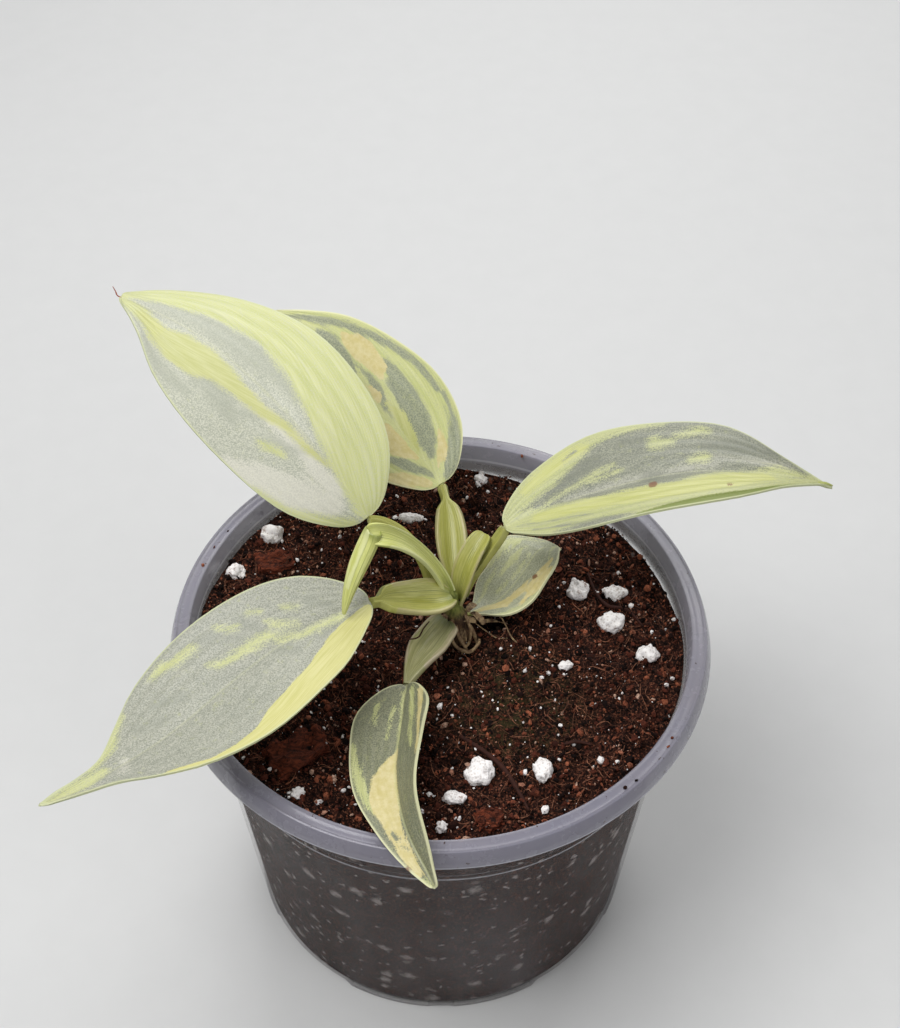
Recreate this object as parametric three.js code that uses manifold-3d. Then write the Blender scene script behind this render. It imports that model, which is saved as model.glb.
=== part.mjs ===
// A young variegated philodendron in a 12 cm clear nursery pot.
// Millimetres, +Z up. The origin is the middle of the pot's underside, on the surface it stands on.
// -Y faces the viewer, +X is to the right.
import * as THREE from 'three';
import { mergeVertices } from 'three/addons/utils/BufferGeometryUtils.js';
import Module from 'manifold-3d';

const wasm = await Module();
wasm.setup();

// Driving dimensions of the pot
const POT_HEIGHT = 91;
const RIM_RADIUS = 60;
const RIM_DROP = 4;
const LIP_RADIUS = 55.7;
const RIDGE_RADIUS = 58.6;
const SHOULDER_HEIGHT = 71;
const SHOULDER_RADIUS = 53.3;
const BASE_RADIUS = 47;
const WALL = 0.7;
const FLOOR = 0.8;
const PANEL_HEIGHT = 2.3;
const FOOT_WIDTH = 6.5;
const CENTRE_FOOT_RADIUS = 8;
const ARCH_HALF_ANGLE = 16;
const NOTCH_HALF_ANGLE = 3.4;
const NOTCH_HEIGHT = 1.1;
const DRAIN_RADIUS = 2.5;
const DRAIN_CIRCLE = 27;
const DRAIN_COUNT = 8;

// Driving dimensions of the soil and the plant
const SOIL_HEIGHT = 85.2;
const GAP = 0.35;
const STEM_X = 3.3;
const STEM_Y = 0;
const STEM_FOOT = 58;
const STEM_TOP = 101.3;
const STEM_RADIUS = 2.5;
const STEM_CORE_RADIUS = 1.4;
const SHEATH_FOOT = 96.3;
const BLADE_THICKNESS = 0.6;
const ROUND_SEGMENTS = 48;

const group = new THREE.Group();

function finish(colour, roughness, opacity = 1) {
  return new THREE.MeshStandardMaterial({
    color: colour,
    roughness,
    metalness: 0,
    opacity,
    transparent: opacity < 1,
  });
}

const CLEAR_PLASTIC = finish(0xb4b8c2, 0.25, 0.6);
const SOIL = finish(0x3b271e, 0.95);
const PERLITE = finish(0xeeeae2, 0.8);
const BARK = finish(0x7a3a22, 0.9);
const TWIG = finish(0x6d4a33, 0.85);
const ROOT = finish(0xb59a6d, 0.8);
const STEM = finish(0x8b7c4a, 0.7);
const SHEATH = finish(0xa9b86c, 0.45);
const NEW_GROWTH = finish(0xb7cf76, 0.4);
const SILVER_LEAF = finish(0x93a08a, 0.4);
const LIME_LEAF = finish(0xb9c77e, 0.4);

// Any closed geometry as one merged body whose faces point out
function closedBody(geometry) {
  const bare = geometry.clone();
  bare.deleteAttribute('normal');
  bare.deleteAttribute('uv');
  const merged = mergeVertices(bare, 1e-3);
  const position = merged.attributes.position;
  const corners = [];
  for (let i = 0; i < merged.index.count; i += 3) {
    const [a, b, c] = [0, 1, 2].map((k) => merged.index.getX(i + k));
    if (a !== b && b !== c && c !== a) corners.push(a, b, c);
  }
  const point = (i) => new THREE.Vector3().fromBufferAttribute(position, i);
  let volume = 0;
  for (let i = 0; i < corners.length; i += 3) {
    const [a, b, c] = [point(corners[i]), point(corners[i + 1]), point(corners[i + 2])];
    volume += a.dot(b.cross(c));
  }
  if (volume < 0) corners.reverse();
  merged.setIndex(corners);
  return merged;
}

function solid(geometry) {
  const body = closedBody(geometry);
  const vertProperties = new Float32Array(body.attributes.position.array);
  const triVerts = new Uint32Array(body.index.array);
  return new wasm.Manifold(new wasm.Mesh({ numProp: 3, vertProperties, triVerts }));
}

function geometryOf(manifold) {
  const mesh = manifold.getMesh();
  const geometry = new THREE.BufferGeometry();
  geometry.setAttribute('position', new THREE.BufferAttribute(mesh.vertProperties, 3));
  geometry.setIndex(new THREE.BufferAttribute(mesh.triVerts, 1));
  return geometry;
}

function add(name, geometry, material) {
  const mesh = new THREE.Mesh(closedBody(geometry), material);
  mesh.name = name;
  group.add(mesh);
}

// A profile of radius and height, turned about the upright axis
function turned(profile, segments = ROUND_SEGMENTS) {
  const points = profile.map(([radius, height]) => new THREE.Vector2(radius, height));
  return new THREE.LatheGeometry(points, segments).rotateX(Math.PI / 2);
}

// A block between two radii, two angles in degrees and two heights
function sector(middle, halfAngle, inner, outer, bottom, top) {
  const from = THREE.MathUtils.degToRad(middle - halfAngle);
  const to = THREE.MathUtils.degToRad(middle + halfAngle);
  const outline = new THREE.Shape();
  outline.absarc(0, 0, outer, from, to, false);
  outline.absarc(0, 0, inner, to, from, true);
  const block = new THREE.ExtrudeGeometry(outline, {
    depth: top - bottom,
    bevelEnabled: false,
    curveSegments: 6,
  });
  return block.translate(0, 0, bottom);
}

function tube(points, radius, sides, steps) {
  const path = new THREE.CatmullRomCurve3(points.map((p) => new THREE.Vector3(...p)));
  const section = new THREE.Shape();
  for (let i = 0; i < sides; i += 1) {
    const angle = (i / sides) * 2 * Math.PI;
    const corner = [radius * Math.cos(angle), radius * Math.sin(angle)];
    if (i === 0) section.moveTo(...corner);
    else section.lineTo(...corner);
  }
  return new THREE.ExtrudeGeometry(section, { steps, extrudePath: path });
}

// The soil's surface: gentle mounds, sunk towards the right at the back
function soilHeight(x, y) {
  const mounds = 0.45 * Math.sin(x / 9 + 1) * Math.cos(y / 11) + 0.3 * Math.sin((x + 2 * y) / 7);
  const towardsBackRight = THREE.MathUtils.clamp((0.75 * x + 0.66 * y - 18) / 34, 0, 1);
  return SOIL_HEIGHT + mounds - 2.6 * towardsBackRight ** 2;
}

// The pot: thin tapered wall, rolled rim with a flared skirt, foot ring and raised floor panel
const footInner = BASE_RADIUS - FOOT_WIDTH;
const rimTop = POT_HEIGHT - 0.9;
const skirtEdge = POT_HEIGHT - RIM_DROP;
const panelTop = PANEL_HEIGHT + FLOOR;
const shell = solid(turned([
  [0, 0],
  [CENTRE_FOOT_RADIUS, 0],
  [CENTRE_FOOT_RADIUS + 1.5, PANEL_HEIGHT],
  [footInner - 1.5, PANEL_HEIGHT],
  [footInner, 0],
  [BASE_RADIUS - 0.7, 0],
  [BASE_RADIUS, 0.7],
  [SHOULDER_RADIUS - 0.6, SHOULDER_HEIGHT - 0.6],
  [SHOULDER_RADIUS, SHOULDER_HEIGHT],
  [SHOULDER_RADIUS, SHOULDER_HEIGHT + 0.8],
  [LIP_RADIUS - 0.2, skirtEdge + 0.5],
  [LIP_RADIUS + 0.2, rimTop],
  [RIDGE_RADIUS - 0.5, rimTop],
  [RIM_RADIUS - 0.8, skirtEdge],
  [RIM_RADIUS, skirtEdge],
  [RIDGE_RADIUS + 0.3, POT_HEIGHT - 0.4],
  [RIDGE_RADIUS - 0.2, POT_HEIGHT],
  [RIDGE_RADIUS - 1.4, POT_HEIGHT - 0.3],
  [LIP_RADIUS + 0.4, POT_HEIGHT],
  [LIP_RADIUS - 0.3, POT_HEIGHT - 0.5],
  [LIP_RADIUS - 0.9, skirtEdge],
  [SHOULDER_RADIUS - WALL, SHOULDER_HEIGHT + 0.8],
  [SHOULDER_RADIUS - 0.6 - WALL, SHOULDER_HEIGHT - 0.6],
  [BASE_RADIUS - WALL, 1.5],
  [BASE_RADIUS - 1.2, FLOOR],
  [footInner + 0.4, FLOOR],
  [footInner - 1.1, panelTop],
  [CENTRE_FOOT_RADIUS + 1.1, panelTop],
  [CENTRE_FOOT_RADIUS - 0.4, FLOOR],
  [0, FLOOR],
]));
const baseEnvelope = solid(turned([
  [0, 0],
  [BASE_RADIUS - 0.7, 0],
  [BASE_RADIUS, 0.7],
  [BASE_RADIUS + 0.2, panelTop],
  [0, panelTop],
]));
const OPENINGS = [45, 135, 225, 315].map((angle) => [angle, ARCH_HALF_ANGLE, PANEL_HEIGHT]).concat(
  [0, 90, 180, 270].map((angle) => [angle, NOTCH_HALF_ANGLE, NOTCH_HEIGHT]),
);
let pot = shell;
for (const [angle, half, height] of OPENINGS) {
  const opening = solid(sector(angle, half, footInner - 3, BASE_RADIUS + 9, -1, height));
  const roofed = solid(sector(angle, half + 1, footInner - 2.5, BASE_RADIUS + 5, 0, height + FLOOR));
  pot = pot.subtract(opening).add(roofed.intersect(baseEnvelope).subtract(opening));
}
for (let i = 0; i < DRAIN_COUNT; i += 1) {
  const angle = (i / DRAIN_COUNT) * 2 * Math.PI;
  const drain = new THREE.CylinderGeometry(DRAIN_RADIUS, DRAIN_RADIUS, 8, 12).rotateX(Math.PI / 2);
  drain.translate(DRAIN_CIRCLE * Math.cos(angle), DRAIN_CIRCLE * Math.sin(angle), PANEL_HEIGHT);
  pot = pot.subtract(solid(drain));
}
add('pot', geometryOf(pot), CLEAR_PLASTIC);

// The stem, part buried, thickened where old leaves sat
const stemProfile = [
  [0, STEM_FOOT],
  [1.6, STEM_FOOT + 1],
  [3.2, STEM_FOOT + 8],
  [3.4, SOIL_HEIGHT - 8],
  [2.9, SOIL_HEIGHT - 1],
  [3.1, SOIL_HEIGHT + 2],
  [STEM_RADIUS, SOIL_HEIGHT + 5],
  [STEM_RADIUS, SHEATH_FOOT - 1.2],
  [STEM_CORE_RADIUS, SHEATH_FOOT],
  [STEM_CORE_RADIUS, STEM_TOP - 0.6],
  [STEM_CORE_RADIUS - 0.5, STEM_TOP],
  [0, STEM_TOP],
];
const stem = turned(stemProfile, 20).translate(STEM_X, STEM_Y, 0);
add('stem', stem, STEM);

// Buried roots: direction in degrees, starting height, reach and depth of the far end
const BURIED_ROOTS = [
  [15, 80, 40, 52],
  [75, 76, 36, 40],
  [135, 79, 42, 58],
  [195, 73, 38, 34],
  [250, 78, 36, 50],
  [310, 71, 34, 30],
];
const ROOT_RADIUS = 0.9;

function rootPath([direction, from, reach, end]) {
  const angle = THREE.MathUtils.degToRad(direction);
  const along = (radius, sway, height) => [
    STEM_X + radius * Math.cos(angle + sway),
    STEM_Y + radius * Math.sin(angle + sway),
    height,
  ];
  return [
    along(3.4 + 2 * GAP, 0, from),
    along(reach * 0.35, 0.12, THREE.MathUtils.lerp(from, end, 0.25)),
    along(reach * 0.7, -0.1, THREE.MathUtils.lerp(from, end, 0.62)),
    along(reach, 0.05, end),
  ];
}

BURIED_ROOTS.forEach((root, i) => {
  add(`buried_root_${i + 1}`, tube(rootPath(root), ROOT_RADIUS, 6, 10), ROOT);
});

// Perlite grains on the surface: place, then width, depth and height
const PERLITE_GRAINS = [
  [-40.2, 30.2, 6.0, 5.4, 4.6],
  [-47.4, 19, 4.8, 3.9, 3.4],
  [-7.4, 36.0, 6.4, 3.6, 2.6],
  [9.7, 49.3, 3.4, 3.2, 3.0],
  [31.5, 13.2, 5.0, 6.4, 4.2],
  [40.0, 13.0, 6.0, 4.4, 3.8],
  [38.6, 4.0, 6.6, 5.6, 4.6],
  [46.1, -4.6, 5.3, 4.4, 3.6],
  [27.7, -8.4, 3.6, 2.8, 2.4],
  [8.2, -36.6, 7.0, 6.4, 5.2],
  [3.0, -42.6, 4.8, 3.6, 3.0],
  [0.4, -49.2, 2.6, 2.8, 2.4],
  [21.6, -36.0, 4.6, 6.2, 4.0],
  [-29.2, -41.5, 2.8, 2.8, 2.4],
];

function lump(seed, width, depth, height) {
  const grain = closedBody(new THREE.IcosahedronGeometry(0.5, 1));
  const position = grain.attributes.position;
  for (let i = 0; i < position.count; i += 1) {
    const point = new THREE.Vector3().fromBufferAttribute(position, i);
    const bulge = Math.sin(9 * point.x + seed) * Math.cos(8 * point.y - 2 * seed);
    point.multiplyScalar(1 + 0.07 * (bulge + Math.sin(7 * point.z + seed)));
    position.setXYZ(i, point.x * width, point.y * depth, point.z * height);
  }
  return grain;
}

let soilCuts = solid(turned([
  [0, STEM_FOOT - GAP],
  [2.2, STEM_FOOT - GAP],
  [3.4 + 1.2 * GAP, STEM_FOOT + 7],
  [3.4 + 1.2 * GAP, SOIL_HEIGHT + 12],
  [0, SOIL_HEIGHT + 12],
], 20).translate(STEM_X, STEM_Y, 0));
for (const root of BURIED_ROOTS) {
  const path = rootPath(root);
  const farEnd = new THREE.IcosahedronGeometry(ROOT_RADIUS + 2 * GAP, 0).translate(...path.at(-1));
  const nearEnd = new THREE.IcosahedronGeometry(ROOT_RADIUS + 3 * GAP, 0).translate(...path[0]);
  soilCuts = soilCuts.add(solid(tube(path, ROOT_RADIUS + GAP, 6, 10)));
  soilCuts = soilCuts.add(solid(farEnd)).add(solid(nearEnd));
}
PERLITE_GRAINS.forEach(([x, y, width, depth, height], i) => {
  const level = soilHeight(x, y) + 0.22 * height;
  const name = `perlite_${String(i + 1).padStart(2, '0')}`;
  add(name, lump(i, width, depth, height).translate(x, y, level), PERLITE);
  const dent = lump(i, width + 2 * GAP, depth + 2 * GAP, height + 2 * GAP).translate(x, y, level);
  soilCuts = soilCuts.add(solid(dent));
});

// Bark chips on the surface: place, turn in degrees, then length, width and height
const BARK_CHIPS = [
  [9.9, -47.6, 20, 5.6, 4.4, 2.6],
  [-30, -31, 35, 13, 8, 3.4],
  [-41.5, -23, 80, 8, 5, 2.8],
  [-38.6, 22, 10, 9, 6, 2.4],
];

function chip(seed, length, width, height) {
  const block = closedBody(new THREE.BoxGeometry(length, width, height, 4, 3, 1));
  const position = block.attributes.position;
  for (let i = 0; i < position.count; i += 1) {
    const [x, y, z] = [position.getX(i), position.getY(i), position.getZ(i)];
    const narrowing = 1 - 0.3 * Math.abs(x / length) - 0.12 * Math.sin(3 * x + seed);
    const crown = z > 0 ? 1 - 1.2 * (y / width) ** 2 - 0.5 * (x / length) ** 2 : 1;
    position.setXYZ(i, x + 0.25 * Math.sin(2 * y + seed), y * narrowing, z * crown);
  }
  return block;
}

BARK_CHIPS.forEach(([x, y, turn, length, width, height], i) => {
  const seat = new THREE.Vector3(x, y, soilHeight(x, y) + 0.1 * height);
  const angle = THREE.MathUtils.degToRad(turn);
  const body = chip(i, length, width, height);
  const dent = body.clone().scale(1 + (3 * GAP) / length, 1 + (3 * GAP) / width, 1 + (2 * GAP) / height);
  add(`bark_chip_${i + 1}`, body.rotateZ(angle).translate(...seat), BARK);
  soilCuts = soilCuts.add(solid(dent.rotateZ(angle).translate(...seat)));
});

// Dry twigs and rootlets lying on the surface: radius, then places
const TWIGS = [
  [0.6, [4.3, -27.1], [9.4, -31], [13.4, -35.4], [16.6, -42], [18.2, -46]],
  [0.45, [34.2, 19], [35.6, 13], [38, 9], [42.4, 7.9], [45.6, 3]],
  [0.45, [26.2, -29.8], [29, -29.2], [32, -30]],
];
TWIGS.forEach(([radius, ...places], i) => {
  const points = places.map(([x, y]) => [x, y, soilHeight(x, y) + radius + 0.4]);
  add(`twig_${i + 1}`, tube(points, radius, 6, 8), TWIG);
});

// The soil fills the pot to just under the rim, down into the foot ring
const soilRings = [50, 44, 36, 28, 20, 12].map((radius) => [radius, SOIL_HEIGHT]);
const soilBody = turned([
  [0, panelTop + GAP],
  [footInner - 1.1, panelTop + GAP],
  [footInner + 0.8, FLOOR + GAP],
  [BASE_RADIUS - 1.7, FLOOR + GAP],
  [BASE_RADIUS - WALL - GAP, 2],
  [SHOULDER_RADIUS - 0.6 - WALL - GAP, SHOULDER_HEIGHT - 0.6],
  [SHOULDER_RADIUS - WALL - GAP, SHOULDER_HEIGHT + 0.8],
  [LIP_RADIUS - 1 - GAP, SOIL_HEIGHT],
  ...soilRings,
  [0, SOIL_HEIGHT],
]);
const wallInside = (height) => THREE.MathUtils.mapLinear(
  height,
  SHOULDER_HEIGHT + 0.8,
  skirtEdge,
  SHOULDER_RADIUS - WALL,
  LIP_RADIUS - 0.9,
);
const soilPosition = soilBody.attributes.position;
for (let i = 0; i < soilPosition.count; i += 1) {
  const [x, y, z] = [soilPosition.getX(i), soilPosition.getY(i), soilPosition.getZ(i)];
  if (z > SOIL_HEIGHT - 1) {
    const height = soilHeight(x, y);
    const inwards = Math.min(1, (wallInside(height) - GAP) / Math.max(Math.hypot(x, y), 1));
    soilPosition.setXYZ(i, x * inwards, y * inwards, height);
  }
}
let soil = solid(soilBody).subtract(soilCuts);
for (const [angle, half, height] of OPENINGS) {
  const clearance = sector(angle, half + 1.5, footInner - 4, BASE_RADIUS + 9, -1, height + FLOOR + GAP);
  soil = soil.subtract(solid(clearance));
}
add('soil', geometryOf(soil), SOIL);

// A value between evenly spaced ones, on a smooth curve through them all
function between(values, position) {
  const last = values.length - 1;
  const i = Math.min(Math.floor(position * last), last - 1);
  const t = position * last - i;
  const b = values[i];
  const c = values[i + 1];
  const a = i > 0 ? values[i - 1] : 2 * b - c;
  const d = i + 2 <= last ? values[i + 2] : 2 * c - b;
  const bend = 2 * a - 5 * b + 4 * c - d;
  return 0.5 * (2 * b + (c - a) * t + bend * t * t + (3 * b - a - 3 * c + d) * t ** 3);
}

// A leaf blade or a sheath: a thin strip along a curved midrib.
// Stations run evenly in s; their place on the midrib is bunched towards both ends.
// left and right are the half-widths at those stations. roll lifts the right half about the
// midrib, from base to tip. fold lifts each half from flat.
function blade({ midrib, left, right, roll, fold, thickness, rows = 14, columns = 4 }) {
  const curve = new THREE.CubicBezierCurve3(...midrib.map((p) => new THREE.Vector3(...p)));
  const geometry = closedBody(new THREE.BoxGeometry(1, 1, 1, rows, columns, 1));
  const position = geometry.attributes.position;
  const upward = new THREE.Vector3(0, 0, 1);
  const foldAngle = THREE.MathUtils.degToRad(fold);
  for (let i = 0; i < position.count; i += 1) {
    const s = position.getX(i) + 0.5;
    const along = (1 - Math.cos(Math.PI * s)) / 2;
    const tangent = curve.getTangent(along);
    const lift = upward.clone().addScaledVector(tangent, -upward.dot(tangent)).normalize();
    const side = tangent.clone().cross(lift);
    const angle = -THREE.MathUtils.degToRad(THREE.MathUtils.lerp(roll[0], roll[1], along));
    side.applyAxisAngle(tangent, angle);
    lift.applyAxisAngle(tangent, angle);
    const across = position.getY(i) * 2;
    const reach = Math.abs(across) * between(across > 0 ? right : left, s);
    const depth = position.getZ(i) * THREE.MathUtils.lerp(thickness[0], thickness[1], along);
    const point = curve.getPoint(along);
    const sideways = reach * Math.cos(foldAngle) - depth * Math.sin(foldAngle);
    point.addScaledVector(side, Math.sign(across) * sideways);
    point.addScaledVector(lift, reach * Math.sin(foldAngle) + depth * Math.cos(foldAngle));
    position.setXYZ(i, point.x, point.y, point.z);
  }
  return geometry;
}

const BLADES = {
  upper_left: {
    midrib: [[-15.5, 7.1, 117], [-30.5, 18.5, 138.7], [-49.8, 44, 138.3], [-69.2, 46.4, 144.9]],
    left: [1, 7.5, 14.2, 17.4, 18.2, 15.6, 9.8, 4.6, 0.4],
    right: [1, 7.5, 14.2, 17.4, 18.2, 15.5, 9.8, 4.6, 0.4],
    roll: [21, -14.6],
    fold: 2,
    material: SILVER_LEAF,
  },
  back: {
    midrib: [[0.2, 24.7, 109.1], [-12.3, 38.8, 120.2], [-26.8, 50, 128.6], [-37.7, 55.7, 132.8]],
    left: [1, 6.9, 12.6, 14.9, 13.4, 10.2, 5.2, 1.8, 0.4],
    right: [1, 7, 12.8, 15.1, 13.5, 10.3, 5.3, 1.8, 0.4],
    roll: [4.6, 16.4],
    fold: 9,
    material: LIME_LEAF,
  },
  right: {
    midrib: [[14.1, 9.7, 111.3], [35.3, 16.9, 118.1], [58.9, 11.7, 133.1], [83.6, 12.9, 120.4]],
    left: [1, 5.4, 11.4, 15.8, 15.2, 12.3, 5, 1.2, 0.4],
    right: [1, 5.6, 12, 16.6, 16, 12.9, 5.2, 1.2, 0.4],
    roll: [8.5, 7.7],
    fold: 13.5,
    material: SILVER_LEAF,
  },
  lower_left: {
    midrib: [[-14.6, -9.8, 109.2], [-41.8, -21.9, 111.1], [-45, -39.5, 102.8], [-76, -57.2, 106]],
    left: [1, 6, 12, 15.3, 16.6, 13.8, 5.4, 1.6, 0.4],
    right: [1, 5.9, 11.9, 15.1, 16.4, 13.6, 5.3, 1.6, 0.4],
    roll: [13.5, -20.2],
    fold: 7,
    material: SILVER_LEAF,
  },
  front: {
    midrib: [[-7.1, -18.7, 92.5], [-9.7, -38.7, 89.5], [-11.4, -48.6, 96.1], [-0.7, -66.9, 92.4]],
    left: [1, 5.8, 9.9, 10.1, 9, 6.6, 4.3, 2, 0.4],
    right: [1, 5.8, 9.8, 10, 9, 6.5, 4.2, 1.9, 0.4],
    roll: [-28.6, -39],
    fold: 26,
    material: LIME_LEAF,
  },
  small_right: {
    midrib: [[6.7, 4.4, 88.5], [21.4, 10.4, 88.1], [18, 14.5, 103], [27.1, 18.3, 94.7]],
    left: [1, 2.9, 8.4, 9.5, 9.4, 9.2, 4.9, 1.4, 0.4],
    right: [1, 2.9, 8.2, 9.4, 9.2, 9.1, 4.8, 1.4, 0.4],
    roll: [18.4, 20.7],
    fold: 10,
    material: LIME_LEAF,
  },
};
for (const [name, { material, ...shape }] of Object.entries(BLADES)) {
  add(`leaf_${name}`, blade({ ...shape, thickness: [BLADE_THICKNESS, BLADE_THICKNESS] }), material);
}

// Each leaf's stalk: a winged sheath that clasps the stem and narrows to a round petiole
const STALKS = {
  petiole_upper_left: {
    midrib: [[-0.6, 1.4, 95.5], [-3, 6, 107], [-8.5, 9, 114], [-14.8, 6.9, 116.3]],
    left: [1.6, 2.2, 2, 1.7, 1.5, 1.3, 1.2, 1.1, 1],
    right: [1.6, 2.2, 2, 1.7, 1.5, 1.3, 1.2, 1.1, 1],
    roll: [0, 0],
    fold: 35,
    thickness: [1, 1.8],
    material: SHEATH,
  },
  petiole_back: {
    midrib: [[3.4, 3.9, 98.3], [2.4, 9.5, 101.6], [2.7, 17.4, 105.8], [0.4, 24.2, 108.8]],
    left: [1.6, 1.4, 2.2, 3.5, 3.9, 2.4, 1.1, 1.1, 1],
    right: [1.6, 1.4, 2.2, 3.5, 3.9, 2.4, 1.1, 1.1, 1],
    roll: [0, 0],
    fold: 30,
    thickness: [0.7, 1.8],
    material: SHEATH,
  },
  petiole_right: {
    midrib: [[4.9, 1.5, 97], [5.6, 2.3, 104.6], [11, 6.7, 105.8], [13.75, 9.45, 110.85]],
    left: [1.4, 1.6, 2.8, 4, 4.4, 4.3, 2.1, 1.8, 1.15],
    right: [1.4, 1.4, 2.4, 3.5, 3.9, 3.8, 1.9, 1.6, 1.05],
    roll: [12, 0],
    fold: 30,
    thickness: [0.7, 1.8],
    material: SHEATH,
  },
  petiole_lower_left: {
    midrib: [[2.4, -2.9, 102.6], [-3.2, -6.2, 104], [-8.6, -4.8, 105], [-14.2, -9.65, 109]],
    left: [2.2, 3.2, 4.6, 5.1, 4.7, 3.8, 2.3, 1.4, 1.1],
    right: [1.4, 2, 3.2, 4.6, 4.7, 3.8, 2.3, 1.4, 1.1],
    roll: [6, 25],
    fold: 30,
    thickness: [0.7, 1.8],
    material: SHEATH,
  },
  petiole_front: {
    midrib: [[1.2, -2.5, 94.6], [-2.2, -6.2, 92.4], [-5.9, -13.4, 94.2], [-7.05, -18.3, 92.55]],
    left: [2.2, 5.3, 6.1, 6.4, 6.5, 4.6, 2.8, 1.6, 1.2],
    right: [1.8, 2.9, 3.4, 3.6, 3.7, 2.6, 1.5, 0.9, 0.8],
    roll: [-1, -5],
    fold: 30,
    thickness: [0.7, 1.4],
    material: SHEATH,
  },
  petiole_small_right: {
    midrib: [[4.5, 4.3, 86.9], [5, 4.3, 87.7], [5.6, 4.1, 88.3], [6.3, 4.25, 88.5]],
    left: [1.2, 1.2, 1.2, 1.1, 1.1, 1.1, 1, 1, 1],
    right: [1.2, 1.2, 1.2, 1.1, 1.1, 1.1, 1, 1, 1],
    roll: [0, 0],
    fold: 10,
    thickness: [1.2, 1.2],
    material: SHEATH,
  },
  new_leaf_petiole: {
    midrib: [[2.3, 0.9, 101.9], [-2.7, 3.9, 110.8], [-10.1, -3.4, 125.3], [-13.9, -3.3, 124.2]],
    left: [1.3, 2.2, 3.5, 3.9, 4.1, 3.9, 4, 4, 3.2],
    right: [1.7, 1.8, 1.9, 2, 2.1, 2, 2, 2, 1.7],
    roll: [12, 44],
    fold: 30,
    thickness: [0.9, 0.8],
    material: NEW_GROWTH,
  },
  new_leaf_blade: {
    midrib: [[-15, -4, 123.3], [-15.4, -4.8, 119.8], [-18.2, -10.6, 118.5], [-19.7, -14.7, 111.4]],
    left: [2, 2.5, 2.9, 3.1, 3.1, 2.6, 1.8, 1.1, 0.3],
    right: [1.6, 2, 2.4, 2.5, 2.5, 2.1, 1.5, 0.9, 0.3],
    roll: [-13, -18],
    fold: 34,
    thickness: [0.7, 0.6],
    material: NEW_GROWTH,
  },
};
for (const [name, { material, ...shape }] of Object.entries(STALKS)) {
  add(name, blade({ ...shape, rows: 12, columns: 4 }), material);
}

// Short aerial roots from the foot of the stem down to the soil
const AERIAL_ROOTS = [
  [[6.3, -1, 90.6], [7.4, -1.7, 89], [7.8, -2.1, 86.3]],
  [[3.7, -3.2, 91.6], [4.3, -4.2, 89.4], [5.4, -4.9, 86.4]],
  [[0.1, 1.4, 91], [-1.8, 2, 89], [-3.4, 2.9, 86.3]],
];
AERIAL_ROOTS.forEach((places, i) => {
  add(`aerial_root_${i + 1}`, tube(places, 0.5, 6, 6), ROOT);
});

export default group;
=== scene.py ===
# %% [markdown]
# # A young variegated philodendron in a clear nursery pot
#
# The plant has six mature leaves, each on a stalk whose winged foot clasps the stem, and a new
# leaf that still hangs rolled. It stands in potting soil with perlite, bark and fine roots, in a
# thin milky pot. The construction model fixes every size and place. This script gives each piece
# its fine surface and its finish, in the same frame, in metres.

# %% Load the construction model
import math

import bpy
import numpy as np
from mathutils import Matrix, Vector
from mathutils.bvhtree import BVHTree


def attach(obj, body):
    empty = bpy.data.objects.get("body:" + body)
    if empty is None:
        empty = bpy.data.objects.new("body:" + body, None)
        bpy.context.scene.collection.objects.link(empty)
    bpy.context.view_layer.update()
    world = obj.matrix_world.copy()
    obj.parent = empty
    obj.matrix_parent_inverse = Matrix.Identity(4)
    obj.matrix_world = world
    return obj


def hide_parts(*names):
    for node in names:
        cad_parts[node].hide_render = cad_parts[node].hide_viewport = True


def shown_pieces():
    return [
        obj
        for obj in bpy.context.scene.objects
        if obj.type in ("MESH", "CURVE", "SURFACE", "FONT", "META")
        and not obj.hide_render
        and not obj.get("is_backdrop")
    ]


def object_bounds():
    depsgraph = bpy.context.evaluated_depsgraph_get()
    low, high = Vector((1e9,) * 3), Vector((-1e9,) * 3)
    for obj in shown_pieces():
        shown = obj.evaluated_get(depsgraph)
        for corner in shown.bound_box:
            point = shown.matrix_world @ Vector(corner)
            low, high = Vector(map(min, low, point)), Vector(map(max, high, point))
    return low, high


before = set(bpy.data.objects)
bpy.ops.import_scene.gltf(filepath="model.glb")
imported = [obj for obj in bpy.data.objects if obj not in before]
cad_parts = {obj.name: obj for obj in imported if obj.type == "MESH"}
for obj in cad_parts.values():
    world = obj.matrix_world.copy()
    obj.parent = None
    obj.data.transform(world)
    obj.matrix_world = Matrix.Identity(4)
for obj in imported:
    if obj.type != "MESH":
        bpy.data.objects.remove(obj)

cad_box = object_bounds()
MM = 0.001
print("CAD nodes:", len(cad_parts))
print("CAD box in mm:", [[round(c / MM, 1) for c in corner] for corner in cad_box])

# %% [markdown]
# ## The camera
#
# The photograph looks down on the plant at 47 degrees from a third of a metre away. The picture
# is taller than wide, so the lens is worked out from its height: a long lens keeps the pot's
# sides nearly parallel, as they are in the photograph.

# %% Camera
PICTURE_HEIGHT = 1028
FOCAL_PIXELS = 1600
SENSOR = 36.0
CAMERA_PLACE = Vector((2.14, -223.9, 366.8)) * MM
CAMERA_TARGET = Vector((2.14, 0, 125.8)) * MM

camera = bpy.data.objects.new("camera", bpy.data.cameras.new("camera"))
bpy.context.scene.collection.objects.link(camera)
camera.data.sensor_width = SENSOR
camera.data.lens = SENSOR * FOCAL_PIXELS / PICTURE_HEIGHT
camera.data.clip_start = 0.01
camera.location = CAMERA_PLACE
camera.rotation_euler = (CAMERA_TARGET - CAMERA_PLACE).to_track_quat("-Z", "Y").to_euler()
bpy.context.scene.camera = camera
print("lens in mm:", round(camera.data.lens, 2))
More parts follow.
